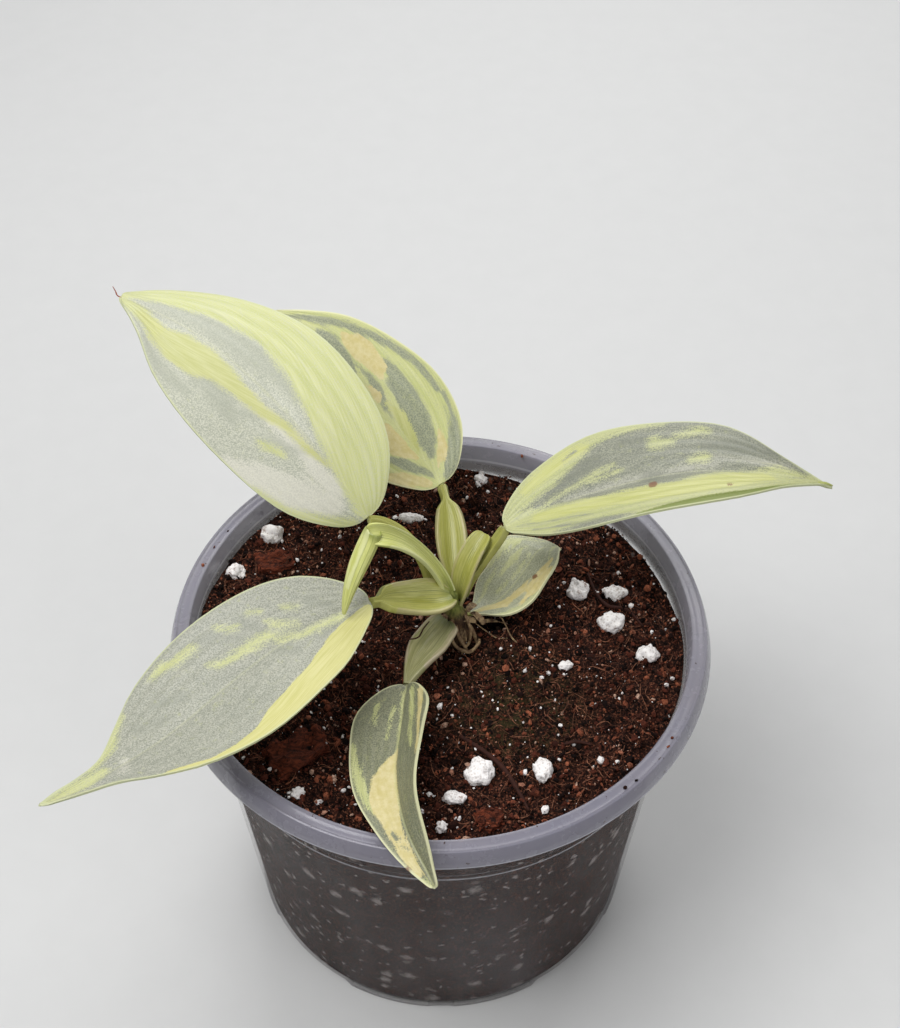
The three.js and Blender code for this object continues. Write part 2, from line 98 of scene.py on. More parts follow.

# %% [markdown]
# ## Small helpers
#
# Blender's operators work on what is selected, so each new piece starts from a clean selection.
# A finished piece gets its finish and hides the construction nodes that it stands for.

# %% Selecting and finishing pieces
def deselect_all():
    if bpy.context.object and bpy.context.object.mode != "OBJECT":
        bpy.ops.object.mode_set(mode="OBJECT")
    bpy.ops.object.select_all(action="DESELECT")


def make_active(piece):
    deselect_all()
    piece.select_set(True)
    bpy.context.view_layer.objects.active = piece


def named(name):
    piece = bpy.context.object
    piece.name = name
    piece.data.name = name
    return piece


def apply_modifiers(piece):
    make_active(piece)
    for modifier in list(piece.modifiers):
        bpy.ops.object.modifier_apply(modifier=modifier.name)


def place_in_mesh(piece):
    make_active(piece)
    bpy.ops.object.transform_apply(location=True, rotation=True, scale=True)


def rounded(piece, levels):
    smooth = piece.modifiers.new("round_edges", "SUBSURF")
    smooth.levels = levels
    smooth.render_levels = levels


def thickened(piece, thickness):
    """Gives a sheet its thickness in millimetres, half on each side."""
    thick = piece.modifiers.new("thickness", "SOLIDIFY")
    thick.thickness = thickness * MM
    thick.offset = 0
    return thick


def displaced(piece, name, kind, size, strength, middle=0.5):
    """Adds a displace modifier with a procedural texture, its sizes in millimetres."""
    texture = bpy.data.textures.new(name, kind)
    texture.noise_scale = size * MM
    displace = piece.modifiers.new(name, "DISPLACE")
    displace.texture = texture
    displace.texture_coords = "LOCAL"
    displace.strength = strength * MM
    displace.mid_level = middle
    return displace


def finish_piece(piece, materials, nodes=()):
    piece.data.materials.clear()
    for material in materials:
        piece.data.materials.append(material)
    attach(piece, "root")
    if nodes:
        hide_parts(*nodes)
    print(f"{piece.name}: {len(piece.data.polygons)} faces")
    return piece


def mesh_piece(name, points, faces):
    mesh = bpy.data.meshes.new(name)
    mesh.from_pydata([tuple(p) for p in points], [], [tuple(f) for f in faces])
    mesh.update()
    piece = bpy.data.objects.new(name, mesh)
    bpy.context.scene.collection.objects.link(piece)
    return piece


def vertex_places(piece):
    places = np.zeros(len(piece.data.vertices) * 3, np.float32)
    piece.data.vertices.foreach_get("co", places)
    return places.reshape(-1, 3)


def point_values(piece, name, values, kind="FLOAT", field="value"):
    attribute = piece.data.attributes.new(name, kind, "POINT")
    attribute.data.foreach_set(field, np.asarray(values, np.float32).ravel())


# %% [markdown]
# ## Helpers for finishes
#
# Every finish is built from a few kinds of node. Most of the helpers below add one node and hand
# back its output, so that a finish reads as a short recipe. Colours are written as they look on
# a screen, 0 to 255, and turned into the linear light that the shader works in.

# %% Node helpers
def colour(red, green, blue):
    shares = [c / 255 for c in (red, green, blue)]
    return (*[((c + 0.055) / 1.055) ** 2.4 if c > 10 / 255 else c / 12.92 for c in shares], 1.0)


def add_node(tree, kind, inputs=None, **settings):
    made = tree.nodes.new(kind)
    for key, value in settings.items():
        setattr(made, key, value)
    for key, value in (inputs or {}).items():
        if isinstance(value, bpy.types.NodeSocket):
            tree.links.new(value, made.inputs[key])
        else:
            made.inputs[key].default_value = value
    return made


def new_finish(name, roughness=0.5, **sockets):
    material = bpy.data.materials.new(name)
    material.use_nodes = True
    shader = material.node_tree.nodes["Principled BSDF"]
    shader.inputs["Roughness"].default_value = roughness
    for key, value in sockets.items():
        shader.inputs[key.replace("_", " ")].default_value = value
    return material, material.node_tree, shader


def object_place(tree):
    return add_node(tree, "ShaderNodeTexCoord").outputs["Object"]


def attribute(tree, name, output="Fac"):
    return add_node(tree, "ShaderNodeAttribute", attribute_name=name).outputs[output]


def stretched(tree, vector, scale):
    return add_node(tree, "ShaderNodeMapping", {"Vector": vector, "Scale": scale}).outputs["Vector"]


def noise_of(tree, vector, scale, detail=3.0, roughness=0.6, distortion=0.0):
    inputs = {"Vector": vector, "Scale": scale, "Detail": detail, "Roughness": roughness,
              "Distortion": distortion}
    return add_node(tree, "ShaderNodeTexNoise", inputs).outputs["Fac"]


def ranged(tree, value, low, high, to_low=0.0, to_high=1.0):
    inputs = {"Value": value, "From Min": low, "From Max": high, "To Min": to_low, "To Max": to_high}
    node = add_node(tree, "ShaderNodeMapRange", inputs, interpolation_type="SMOOTHSTEP")
    return node.outputs["Result"]


def calc(tree, operation, a, b=0.0):
    return add_node(tree, "ShaderNodeMath", {0: a, 1: b}, operation=operation).outputs[0]


def mixed(tree, factor, a, b):
    node = add_node(tree, "ShaderNodeMix", data_type="RGBA")
    for index, value in ((0, factor), (6, a), (7, b)):
        if isinstance(value, bpy.types.NodeSocket):
            tree.links.new(value, node.inputs[index])
        else:
            node.inputs[index].default_value = value
    return node.outputs[2]


def height_of(tree, place):
    return add_node(tree, "ShaderNodeSeparateXYZ", {0: place}).outputs["Z"]


def away_from(tree, place, x, y, z):
    """Distance in metres from a point given in millimetres."""
    inputs = {0: place, 1: (x * MM, y * MM, z * MM)}
    return add_node(tree, "ShaderNodeVectorMath", inputs, operation="DISTANCE").outputs["Value"]


def painted(tree, shader, base, height=None, depth=0.0, strength=1.0):
    """Joins up the colour, and a bump whose depth is in millimetres."""
    tree.links.new(base, shader.inputs["Base Color"])
    if height is not None:
        inputs = {"Height": height, "Distance": depth * MM, "Strength": strength}
        normal = add_node(tree, "ShaderNodeBump", inputs).outputs["Normal"]
        tree.links.new(normal, shader.inputs["Normal"])


# %% [markdown]
# ## Floor and light
#
# A plain pale floor and three large soft lamps show the plant without hard shadows. The key lamp
# hangs over the left front, a second one fills from the right, and a third behind the plant
# lights the rim and the leaf edges from the back, as in the photograph.

# %% Floor, lamps and world
deselect_all()
bpy.ops.mesh.primitive_plane_add(size=6, location=(0, 0, 0))
floor = named("floor")
floor_finish, tree, shader = new_finish("pale_floor", 0.7)
grain = noise_of(tree, object_place(tree), 90)
painted(tree, shader, mixed(tree, grain, colour(206, 206, 205), colour(211, 211, 210)))
floor.data.materials.append(floor_finish)
floor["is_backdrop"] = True

LAMPS = {
    "key_lamp": ((-0.3, -0.12, 0.8), 0.5, 5.0),
    "fill_lamp": ((0.5, -0.45, 0.5), 0.6, 1.3),
    "back_lamp": ((0.1, 0.6, 0.6), 0.6, 3.2),
}
LAMP_TARGET = Vector((0, 0, 0.09))
for name, (place, size, watts) in LAMPS.items():
    lamp = bpy.data.objects.new(name, bpy.data.lights.new(name, "AREA"))
    lamp.data.size = size
    lamp.data.energy = watts
    lamp.location = place
    lamp.rotation_euler = (LAMP_TARGET - Vector(place)).to_track_quat("-Z", "Y").to_euler()
    bpy.context.scene.collection.objects.link(lamp)

world = bpy.data.worlds.new("soft_room")
bpy.context.scene.world = world
world.use_nodes = True
background = world.node_tree.nodes["Background"]
background.inputs["Color"].default_value = (0.9, 0.92, 0.95, 1)
background.inputs["Strength"].default_value = 0.26
bpy.context.scene.view_settings.view_transform = "Standard"
print("lamps:", len(LAMPS))

# %% [markdown]
# ## The pot
#
# The real pot is moulded from thin polypropylene, so it is a shape of revolution: a tapered
# wall, a step at the shoulder, and a rim that rolls over into a flared skirt. One vertex is
# extruded from point to point round the section, and spin turns the section round the axis. The
# foot ring then gets the arches that let water out, and a boolean cuts the drain holes.

# %% Pot section
POT_HEIGHT = 91
RIM_RADIUS = 60
LIP_RADIUS = 55.7
RIDGE_RADIUS = 58.6
SHOULDER_HEIGHT = 71
SHOULDER_RADIUS = 53.3
BASE_RADIUS = 47
WALL = 0.7
FLOOR_THICKNESS = 0.8
PANEL_HEIGHT = 2.3
FOOT_INNER = BASE_RADIUS - 6.5
SKIRT_EDGE = POT_HEIGHT - 4
RIM_TOP = POT_HEIGHT - 0.9
POT_SECTION = [
    (0, 0), (8, 0), (9.5, PANEL_HEIGHT), (FOOT_INNER - 1.5, PANEL_HEIGHT), (FOOT_INNER, 0),
    (BASE_RADIUS - 0.7, 0), (BASE_RADIUS - 0.15, 0.2), (BASE_RADIUS, 0.7),
    (SHOULDER_RADIUS - 0.6, SHOULDER_HEIGHT - 0.6), (SHOULDER_RADIUS, SHOULDER_HEIGHT),
    (SHOULDER_RADIUS, SHOULDER_HEIGHT + 0.8), (LIP_RADIUS - 0.2, SKIRT_EDGE + 0.5),
    (LIP_RADIUS + 0.2, RIM_TOP), (RIDGE_RADIUS - 0.5, RIM_TOP), (RIM_RADIUS - 0.8, SKIRT_EDGE),
    (RIM_RADIUS, SKIRT_EDGE), (RIM_RADIUS - 0.5, POT_HEIGHT - 2), (RIDGE_RADIUS + 0.3, POT_HEIGHT - 0.4),
    (RIDGE_RADIUS + 0.1, POT_HEIGHT - 0.1), (RIDGE_RADIUS - 0.25, POT_HEIGHT),
    (RIDGE_RADIUS - 0.6, POT_HEIGHT - 0.25), (RIDGE_RADIUS - 1.4, POT_HEIGHT - 0.3),
    (LIP_RADIUS + 0.9, POT_HEIGHT - 0.1), (LIP_RADIUS + 0.4, POT_HEIGHT),
    (LIP_RADIUS - 0.05, POT_HEIGHT - 0.1), (LIP_RADIUS - 0.3, POT_HEIGHT - 0.5),
    (LIP_RADIUS - 0.9, SKIRT_EDGE),
    (SHOULDER_RADIUS - WALL, SHOULDER_HEIGHT + 0.8),
    (SHOULDER_RADIUS - 0.6 - WALL, SHOULDER_HEIGHT - 0.6), (BASE_RADIUS - WALL, 1.5),
    (BASE_RADIUS - 1.2, FLOOR_THICKNESS), (FOOT_INNER + 0.4, FLOOR_THICKNESS),
    (FOOT_INNER - 1.1, PANEL_HEIGHT + FLOOR_THICKNESS), (9.1, PANEL_HEIGHT + FLOOR_THICKNESS),
    (7.6, FLOOR_THICKNESS), (0, FLOOR_THICKNESS),
]


def extruded_section(name, section):
    """A chain of edges in the XZ plane, drawn by extruding one vertex, left in edit mode."""
    deselect_all()
    bpy.ops.mesh.primitive_plane_add(size=MM, location=(0, 0, 0))
    piece = named(name)
    bpy.ops.object.mode_set(mode="EDIT")
    bpy.ops.mesh.select_all(action="SELECT")
    bpy.ops.mesh.merge(type="CENTER")
    here = Vector((section[0][0], 0, section[0][1])) * MM
    bpy.ops.transform.translate(value=here)
    for radius, height in section[1:]:
        there = Vector((radius, 0, height)) * MM
        bpy.ops.mesh.extrude_region_move(TRANSFORM_OT_translate={"value": there - here})
        here = there
    return piece


def spun(piece, steps):
    """Turns the chain of edges once round the upright axis and closes the seam."""
    bpy.ops.mesh.select_all(action="SELECT")
    bpy.ops.mesh.spin(steps=steps, angle=2 * math.pi, center=(0, 0, 0), axis=(0, 0, 1))
    bpy.ops.mesh.select_all(action="SELECT")
    bpy.ops.mesh.remove_doubles(threshold=0.02 * MM)
    bpy.ops.mesh.normals_make_consistent(inside=False)
    bpy.ops.object.mode_set(mode="OBJECT")
    return piece


pot = spun(extruded_section("pot_shell", POT_SECTION), 180)
print("pot section points:", len(POT_SECTION), "faces:", len(pot.data.polygons))

# %% Arches and notches in the foot ring
ARCHES = [(angle, 16, PANEL_HEIGHT) for angle in (45, 135, 225, 315)]
NOTCHES = [(angle, 3.4, 1.1) for angle in (0, 90, 180, 270)]


def raise_foot(piece, middle, half_angle, height):
    """Lifts the foot ring's outer and inner skins over one sector by moving their vertices."""
    for vertex in piece.data.vertices:
        x, y, z = vertex.co / MM
        away = (math.degrees(math.atan2(y, x)) - middle + 180) % 360 - 180
        if abs(away) > half_angle or math.hypot(x, y) < FOOT_INNER - 0.8:
            continue
        inner_skin = z > FLOOR_THICKNESS - 0.01 and math.hypot(x, y) < BASE_RADIUS - 0.6
        if inner_skin and z < height + FLOOR_THICKNESS:
            vertex.co.z = (height + FLOOR_THICKNESS) * MM
        elif not inner_skin and z < height:
            vertex.co.z = height * MM


for sector in ARCHES + NOTCHES:
    raise_foot(pot, *sector)
print("arches:", len(ARCHES), "notches:", len(NOTCHES))

# %% Drain holes and soft edges
HOLE_COUNT = 8
HOLE_RING = 27
HOLE_RADIUS = 2.5
deselect_all()
drills = []
for i in range(HOLE_COUNT):
    angle = i * 2 * math.pi / HOLE_COUNT
    place = (HOLE_RING * MM * math.cos(angle), HOLE_RING * MM * math.sin(angle), PANEL_HEIGHT * MM)
    bpy.ops.mesh.primitive_cylinder_add(vertices=24, radius=HOLE_RADIUS * MM, depth=8 * MM, location=place)
    drills.append(bpy.context.object)
deselect_all()
for drill in drills:
    drill.select_set(True)
bpy.context.view_layer.objects.active = drills[0]
bpy.ops.object.join()
drill = bpy.context.object
cut = pot.modifiers.new("drain_holes", "BOOLEAN")
cut.object = drill
cut.operation = "DIFFERENCE"
apply_modifiers(pot)
bpy.data.objects.remove(drill)
bevel = pot.modifiers.new("soft_edges", "BEVEL")
bevel.width = 0.12 * MM
bevel.segments = 2
bevel.limit_method = "ANGLE"
bevel.angle_limit = math.radians(28)
apply_modifiers(pot)
bpy.ops.object.shade_smooth_by_angle(angle=math.radians(35))

# %% [markdown]
# Milky polypropylene lets light through without showing clear shapes behind it. The cheap and
# quiet way to render that is a part-transparent surface: thin on the wall, so that the dark soil
# shows, and mostly closed on the rim, where two layers lie over each other.

# %% Pot finish
def ring_line(tree, height, level, half_width):
    """1 on a fine line round the pot at one height, fading to 0 on both sides."""
    away = calc(tree, "ABSOLUTE", calc(tree, "SUBTRACT", height, level * MM))
    return ranged(tree, away, half_width * MM, 0.2 * half_width * MM)


def pot_finish():
    material, tree, shader = new_finish("milky_polypropylene", 0.24, Coat_Weight=0.15, Coat_Roughness=0.1)
    place = object_place(tree)
    height = height_of(tree, place)
    rim = ranged(tree, height, 85.6 * MM, 87.2 * MM)
    cloud = noise_of(tree, stretched(tree, place, (1, 1, 0.35)), 60, 4)
    tint = mixed(tree, rim, colour(92, 82, 80), colour(138, 136, 150))
    milk = calc(tree, "MULTIPLY", ranged(tree, cloud, 0.3, 0.75), ranged(tree, rim, 0, 1, 0.25, 0.6))
    tint = mixed(tree, milk, tint, colour(146, 141, 148))
    specks = noise_of(tree, place, 700, 2)
    specks = calc(tree, "MULTIPLY", ranged(tree, specks, 0.71, 0.74), rim)
    tint = mixed(tree, specks, tint, colour(74, 54, 46))
    # Painted highlights: bright lines round the skirt's edge and the shoulder stand for light caught on the
    # moulded ridges. The same lines also make the plastic a little more opaque there.
    skirt = ring_line(tree, height, SKIRT_EDGE, 0.45)
    shoulder = ring_line(tree, height, SHOULDER_HEIGHT + 0.4, 0.5)
    rings = calc(tree, "MAXIMUM", skirt, shoulder)
    tint = mixed(tree, calc(tree, "MULTIPLY", rings, 0.7), tint, colour(204, 204, 212))
    painted(tree, shader, tint, noise_of(tree, place, 900, 2), 0.02, 0.5)
    foot = ranged(tree, height, 0.8 * MM, 4.0 * MM, 0.16, 0.0)
    haze = calc(tree, "ADD", ranged(tree, cloud, 0.25, 0.8, 0.12, 0.24), foot)
    upper = ranged(tree, height, 82.4 * MM, 84.2 * MM, 0, 0.55)
    closed = calc(tree, "MAXIMUM", upper, calc(tree, "MULTIPLY", rings, 0.4))
    tree.links.new(calc(tree, "ADD", haze, closed), shader.inputs["Alpha"])
    roughness = ranged(tree, noise_of(tree, place, 240, 4), 0.3, 0.8, 0.18, 0.36)
    tree.links.new(roughness, shader.inputs["Roughness"])
    return material


finish_piece(pot, [pot_finish()], ["pot"])

# %% [markdown]
# ## The soil
#
# Peat, bark fines and perlite fill the pot to just under the rim. The body is spun like the pot,
# with a closely divided top. Its surface first takes the gentle mounds of the construction model,
# the sunken side at the back right and a pit beside the stem. Then three displace modifiers
# roughen it: clouds for lumps, cells for clods and finer clouds for crumbs.

# %% Soil body
SOIL_HEIGHT = 85.2
SOIL_EDGE = LIP_RADIUS - 1.05
SOIL_STEPS = 300
TOP_CUTS = 84


def soil_height(x, y):
    """The soil's surface in millimetres, as in the construction model."""
    mounds = 0.45 * np.sin(x / 9 + 1) * np.cos(y / 11) + 0.3 * np.sin((x + 2 * y) / 7)
    sunk = np.clip((0.75 * x + 0.66 * y - 18) / 34, 0, 1)
    return SOIL_HEIGHT + mounds - 2.6 * sunk**2


WALL_GAP = 0.12
SOIL_SECTION = [
    (0, 3.3), (FOOT_INNER - 1.3, 3.3), (FOOT_INNER + 0.8, 1.2), (BASE_RADIUS - 1.8, 1.2),
    (BASE_RADIUS - WALL - WALL_GAP, 2), (SHOULDER_RADIUS - 0.6 - WALL - WALL_GAP, SHOULDER_HEIGHT - 0.6),
    (SHOULDER_RADIUS - WALL - WALL_GAP, SHOULDER_HEIGHT + 0.8), (SOIL_EDGE, SOIL_HEIGHT), (0, SOIL_HEIGHT),
]
soil = extruded_section("soil_body", SOIL_SECTION)
bpy.ops.mesh.select_all(action="DESELECT")
bpy.ops.object.mode_set(mode="OBJECT")
for edge in soil.data.edges:
    ends = [soil.data.vertices[i].co.z for i in edge.vertices]
    edge.select = min(ends) > (SOIL_HEIGHT - 0.1) * MM
bpy.ops.object.mode_set(mode="EDIT")
bpy.ops.mesh.select_mode(type="EDGE")
bpy.ops.mesh.subdivide(number_cuts=TOP_CUTS)
bpy.ops.mesh.select_mode(type="VERT")
spun(soil, SOIL_STEPS)

# %% Mounds, sunken side and pit
PIT = (11.0, 4.4, 4.2)
PIT_DEPTH = 4.8
WALL_SLOPE = 0.145
places = vertex_places(soil)
top = places[:, 2] > (SOIL_HEIGHT - 0.2) * MM
x, y = places[:, 0] / MM, places[:, 1] / MM
radius = np.hypot(x, y)
pit = np.exp(-((x - PIT[0]) ** 2 + (y - PIT[1]) ** 2 * 2.2) / PIT[2] ** 2 * 1.6)
height = soil_height(x, y) - PIT_DEPTH * pit
inside = SHOULDER_RADIUS - WALL + (height - SHOULDER_HEIGHT - 0.8) * WALL_SLOPE - WALL_GAP
squeeze = np.where(top, np.minimum(1, inside / np.maximum(radius, 1)), 1)
places[:, 0] *= squeeze
places[:, 1] *= squeeze
places[top, 2] = height[top] * MM
soil.data.vertices.foreach_set("co", places.ravel())
print("soil surface points:", int(top.sum()))

# %% Roughening the surface
group = soil.vertex_groups.new(name="surface")
free = np.clip((SOIL_EDGE - radius) / 1.6, 0.15, 1)
for index in np.nonzero(top)[0]:
    group.add([int(index)], float(free[index]), "REPLACE")
ROUGHENING = [
    ("lumps", "CLOUDS", 5.0, 3.0),
    ("clods", "VORONOI", 2.4, -1.9),
    ("crumbs", "CLOUDS", 1.1, 1.6),
]
for name, kind, size, strength in ROUGHENING:
    displace = displaced(soil, name, kind, size, strength)
    displace.direction = "Z"
    displace.vertex_group = "surface"
apply_modifiers(soil)
bpy.ops.object.shade_smooth()
surface = BVHTree.FromObject(soil, bpy.context.evaluated_depsgraph_get())


def on_soil(x, y):
    """The height of the roughened soil at a place in metres."""
    hit = surface.ray_cast(Vector((x, y, 0.12)), Vector((0, 0, -1)))[0]
    return hit.z if hit else float(soil_height(x / MM, y / MM)) * MM


# %% [markdown]
# Peat is a dark reddish brown with paler fibres. Fine pale flecks on it are painted highlights on
# the tops of crumbs, and fine near-black flecks are painted shade in the hollows between them. The
# pit beside the stem is darkened with painted shade as well. Near the front of the stem a film of
# green algae tints it. Against the wall the perlite grains press flat and show through the plastic
# as soft white spots, so the side of the soil carries a pattern of cells, of which only some are
# white.

# %% Soil finish
def painted_pit_shade(tree, place, base):
    """Painted shade: nearly black in the deep hollow beside the stem."""
    away = away_from(tree, place, PIT[0], PIT[1], 82)
    return mixed(tree, ranged(tree, away, 4.6 * MM, 2.6 * MM, 0, 0.85), base, colour(5, 3, 2))


def soil_colour(tree, place):
    coarse = noise_of(tree, place, 320, 5, 0.7)
    fine = noise_of(tree, place, 1900, 3, 0.7)
    base = mixed(tree, ranged(tree, coarse, 0.3, 0.72), colour(18, 9, 7), colour(62, 33, 24))
    # Painted highlights: pale flecks of fine noise stand for lit crumb tops.
    base = mixed(tree, ranged(tree, fine, 0.53, 0.66, 0, 0.75), base, colour(138, 86, 64))
    # Painted shade: near-black flecks stand for the hollows between crumbs.
    base = mixed(tree, ranged(tree, fine, 0.5, 0.36), base, colour(8, 4, 3))
    green = ranged(tree, away_from(tree, place, 16, -19, 85), 22 * MM, 4 * MM)
    algae = calc(tree, "MULTIPLY", green, ranged(tree, coarse, 0.4, 0.62, 0, 0.6))
    # The pit beside the stem gets painted shade.
    return painted_pit_shade(tree, place, mixed(tree, algae, base, colour(52, 54, 30)))


def soil_finish():
    material, tree, shader = new_finish("potting_soil", 0.95, Specular_IOR_Level=0.15)
    place = object_place(tree)
    base = soil_colour(tree, place)
    side = ranged(tree, height_of(tree, place), 84.0 * MM, 81.5 * MM)
    wobble = add_node(tree, "ShaderNodeTexNoise", {"Vector": place, "Scale": 420, "Detail": 4})
    inputs = {0: wobble.outputs["Color"], 1: (4 * MM,) * 3, 2: place}
    wobbled = add_node(tree, "ShaderNodeVectorMath", inputs, operation="MULTIPLY_ADD").outputs["Vector"]
    spots = base
    for scale, reach, share in ((190, 0.42, 0.7), (420, 0.4, 0.7)):
        cells = add_node(tree, "ShaderNodeTexVoronoi", {"Vector": wobbled, "Scale": scale})
        draw = add_node(tree, "ShaderNodeSeparateColor", {0: cells.outputs["Color"]}).outputs[0]
        chosen = ranged(tree, draw, share, share + 0.05)
        grain = calc(tree, "MULTIPLY", ranged(tree, cells.outputs["Distance"], reach, reach * 0.2), chosen)
        spots = mixed(tree, calc(tree, "MULTIPLY", grain, 0.75), spots, colour(206, 196, 190))
    lumps = noise_of(tree, place, 1400, 4, 0.7)
    painted(tree, shader, mixed(tree, side, base, spots), lumps, 0.5, 0.9)
    return material


finish_piece(soil, [soil_finish()], ["soil"])

# %% [markdown]
# ## Crumbs, fibres and specks
#
# Thousands of crumbs give the surface its broken look. Each is a small icosahedron, squashed and
# turned at random from a fixed seed, and set where a ray meets the soil. They are made with a
# few lines of mesh code, because placing thousands of copies with operators would take minutes.

# %% A crumb and where it lies
GOLDEN = (1 + math.sqrt(5)) / 2
ICO_POINTS = np.array([(-1, GOLDEN, 0), (1, GOLDEN, 0), (-1, -GOLDEN, 0), (1, -GOLDEN, 0), (0, -1, GOLDEN),
                       (0, 1, GOLDEN), (0, -1, -GOLDEN), (0, 1, -GOLDEN), (GOLDEN, 0, -1), (GOLDEN, 0, 1),
                       (-GOLDEN, 0, -1), (-GOLDEN, 0, 1)]) / math.hypot(1, GOLDEN)
ICO_FACES = np.array([(0, 11, 5), (0, 5, 1), (0, 1, 7), (0, 7, 10), (0, 10, 11), (1, 5, 9), (5, 11, 4),
                      (11, 10, 2), (10, 7, 6), (7, 1, 8), (3, 9, 4), (3, 4, 2), (3, 2, 6), (3, 6, 8),
                      (3, 8, 9), (4, 9, 5), (2, 4, 11), (6, 2, 10), (8, 6, 7), (9, 8, 1)])


def random_turn(rng):
    q = rng.normal(size=4)
    w, x, y, z = q / np.linalg.norm(q)
    return np.array([[1 - 2 * (y * y + z * z), 2 * (x * y - z * w), 2 * (x * z + y * w)],
                     [2 * (x * y + z * w), 1 - 2 * (x * x + z * z), 2 * (y * z - x * w)],
                     [2 * (x * z - y * w), 2 * (y * z + x * w), 1 - 2 * (x * x + y * y)]])


def scattered(name, places, sizes, rng, flatness=(0.55, 1.0)):
    """Squashed, dented icosahedra at the given places, in one mesh, each with its own tint."""
    points, faces, tints = [], [], []
    for i, (place, size) in enumerate(zip(places, sizes)):
        shape = np.array([1, rng.uniform(*flatness), rng.uniform(*flatness)]) * size / 2
        dents = 1 + rng.uniform(-0.22, 0.22, (12, 1))
        points.append((ICO_POINTS * dents * shape) @ random_turn(rng).T + place)
        faces.append(ICO_FACES + 12 * i)
        tints.append(np.full(12, rng.random()))
    piece = mesh_piece(name, np.concatenate(points), np.concatenate(faces))
    point_values(piece, "tint", np.concatenate(tints))
    return piece


def random_places(rng, count, edge, lift):
    """Places on the soil inside a radius in millimetres, raised by a share of a millimetre."""
    places = []
    while len(places) < count:
        x, y = rng.uniform(-edge, edge, 2) * MM
        if math.hypot(x, y) < edge * MM:
            places.append((x, y, on_soil(x, y) + rng.uniform(*lift) * MM))
    return np.array(places)


# %% Scattered crumbs
def crumb_finish():
    material, tree, shader = new_finish("soil_crumb", 0.92, Specular_IOR_Level=0.15)
    place = object_place(tree)
    tint = attribute(tree, "tint")
    base = mixed(tree, ranged(tree, tint, 0.3, 0.8), colour(19, 9, 7), colour(98, 50, 36))
    base = mixed(tree, ranged(tree, tint, 0.75, 0.88), base, colour(158, 92, 66))
    # Painted highlights: the palest few crumbs, almost white, stand for glints of light on the crumbs.
    base = mixed(tree, ranged(tree, tint, 0.92, 0.98), base, colour(206, 168, 146))
    shade = ranged(tree, noise_of(tree, place, 2600, 3), 0.42, 0.68, 0, 0.6)
    base = mixed(tree, shade, base, colour(22, 12, 10))
    # Painted shade also darkens the crumbs that lie in the pit beside the stem.
    painted(tree, shader, painted_pit_shade(tree, place, base), noise_of(tree, place, 3000, 2), 0.25)
    return material


CRUMB_FINISH = crumb_finish()
CRUMB_LAYERS = [
    ("soil_crumbs", 11, 8300, 0.5, 1.7, (-0.1, 0.6)),
    ("soil_grains", 12, 8800, 0.3, 0.5, (0.2, 0.9)),
]
CRUMB_EDGE = 54
for name, seed, count, smallest, spread, lift in CRUMB_LAYERS:
    rng = np.random.default_rng(seed)
    sizes = (smallest + spread * rng.random(count) ** 3.2) * MM
    layer = scattered(name, random_places(rng, count, CRUMB_EDGE, lift), sizes, rng, (0.3, 0.9))
    finish_piece(layer, [CRUMB_FINISH])

# %% Perlite specks
SPECKS = [
    (-33.4, 22.0, 1.2), (-23.9, 29.5, 1.8), (18.6, -9.8, 1.2), (23.9, -9.8, 1.5),
    (0.0, -19.5, 1.9), (17.8, -36.2, 1.4), (33.8, -33.4, 2.1), (32.3, -34.7, 1.0),
    (37.2, -33.7, 1.4), (21.6, -45.7, 2.2), (-30.9, -41.3, 1.4), (-24.8, -43.3, 2.1),
    (-19.8, -41.1, 1.4), (-20.6, -27.4, 1.4), (-41.4, -32.2, 1.2), (-2.0, -41.1, 1.6),
    (49.3, -13.6, 1.9), (9.8, 53.0, 1.8), (9.0, 47.0, 2.4), (6.3, 43.3, 1.2),
    (-11.0, 36.0, 2.0), (-3.8, 35.7, 1.6), (-43.1, 38.3, 1.0), (43.5, 9.5, 1.5),
]
rng = np.random.default_rng(5)
SPECK_COUNT = 560
speck_places = random_places(rng, SPECK_COUNT, CRUMB_EDGE, (0.3, 0.8))
speck_sizes = (0.25 + 0.9 * rng.random(SPECK_COUNT) ** 3) * MM
marked = [(x * MM, y * MM, on_soil(x * MM, y * MM) + 0.3 * MM) for x, y, size in SPECKS]
speck_places = np.concatenate([speck_places, marked])
speck_sizes = np.concatenate([speck_sizes, [size * MM for x, y, size in SPECKS]])
specks = scattered("perlite_specks", speck_places, speck_sizes, rng, (0.45, 1.0))


def perlite_finish():
    material, tree, shader = new_finish("perlite", 0.85)
    place = object_place(tree)
    pits = add_node(tree, "ShaderNodeTexVoronoi", {"Vector": place, "Scale": 1500}).outputs["Distance"]
    stain = noise_of(tree, place, 450, 4, 0.7)
    base = mixed(tree, ranged(tree, pits, 0.1, 0.5), colour(216, 208, 203), colour(248, 244, 242))
    base = mixed(tree, ranged(tree, stain, 0.54, 0.7, 0, 0.85), base, colour(128, 94, 74))
    painted(tree, shader, base, pits, 0.3, 0.7)
    return material


PERLITE_FINISH = perlite_finish()
finish_piece(specks, [PERLITE_FINISH])

# %% A strand
TINT_STEP = 0.618


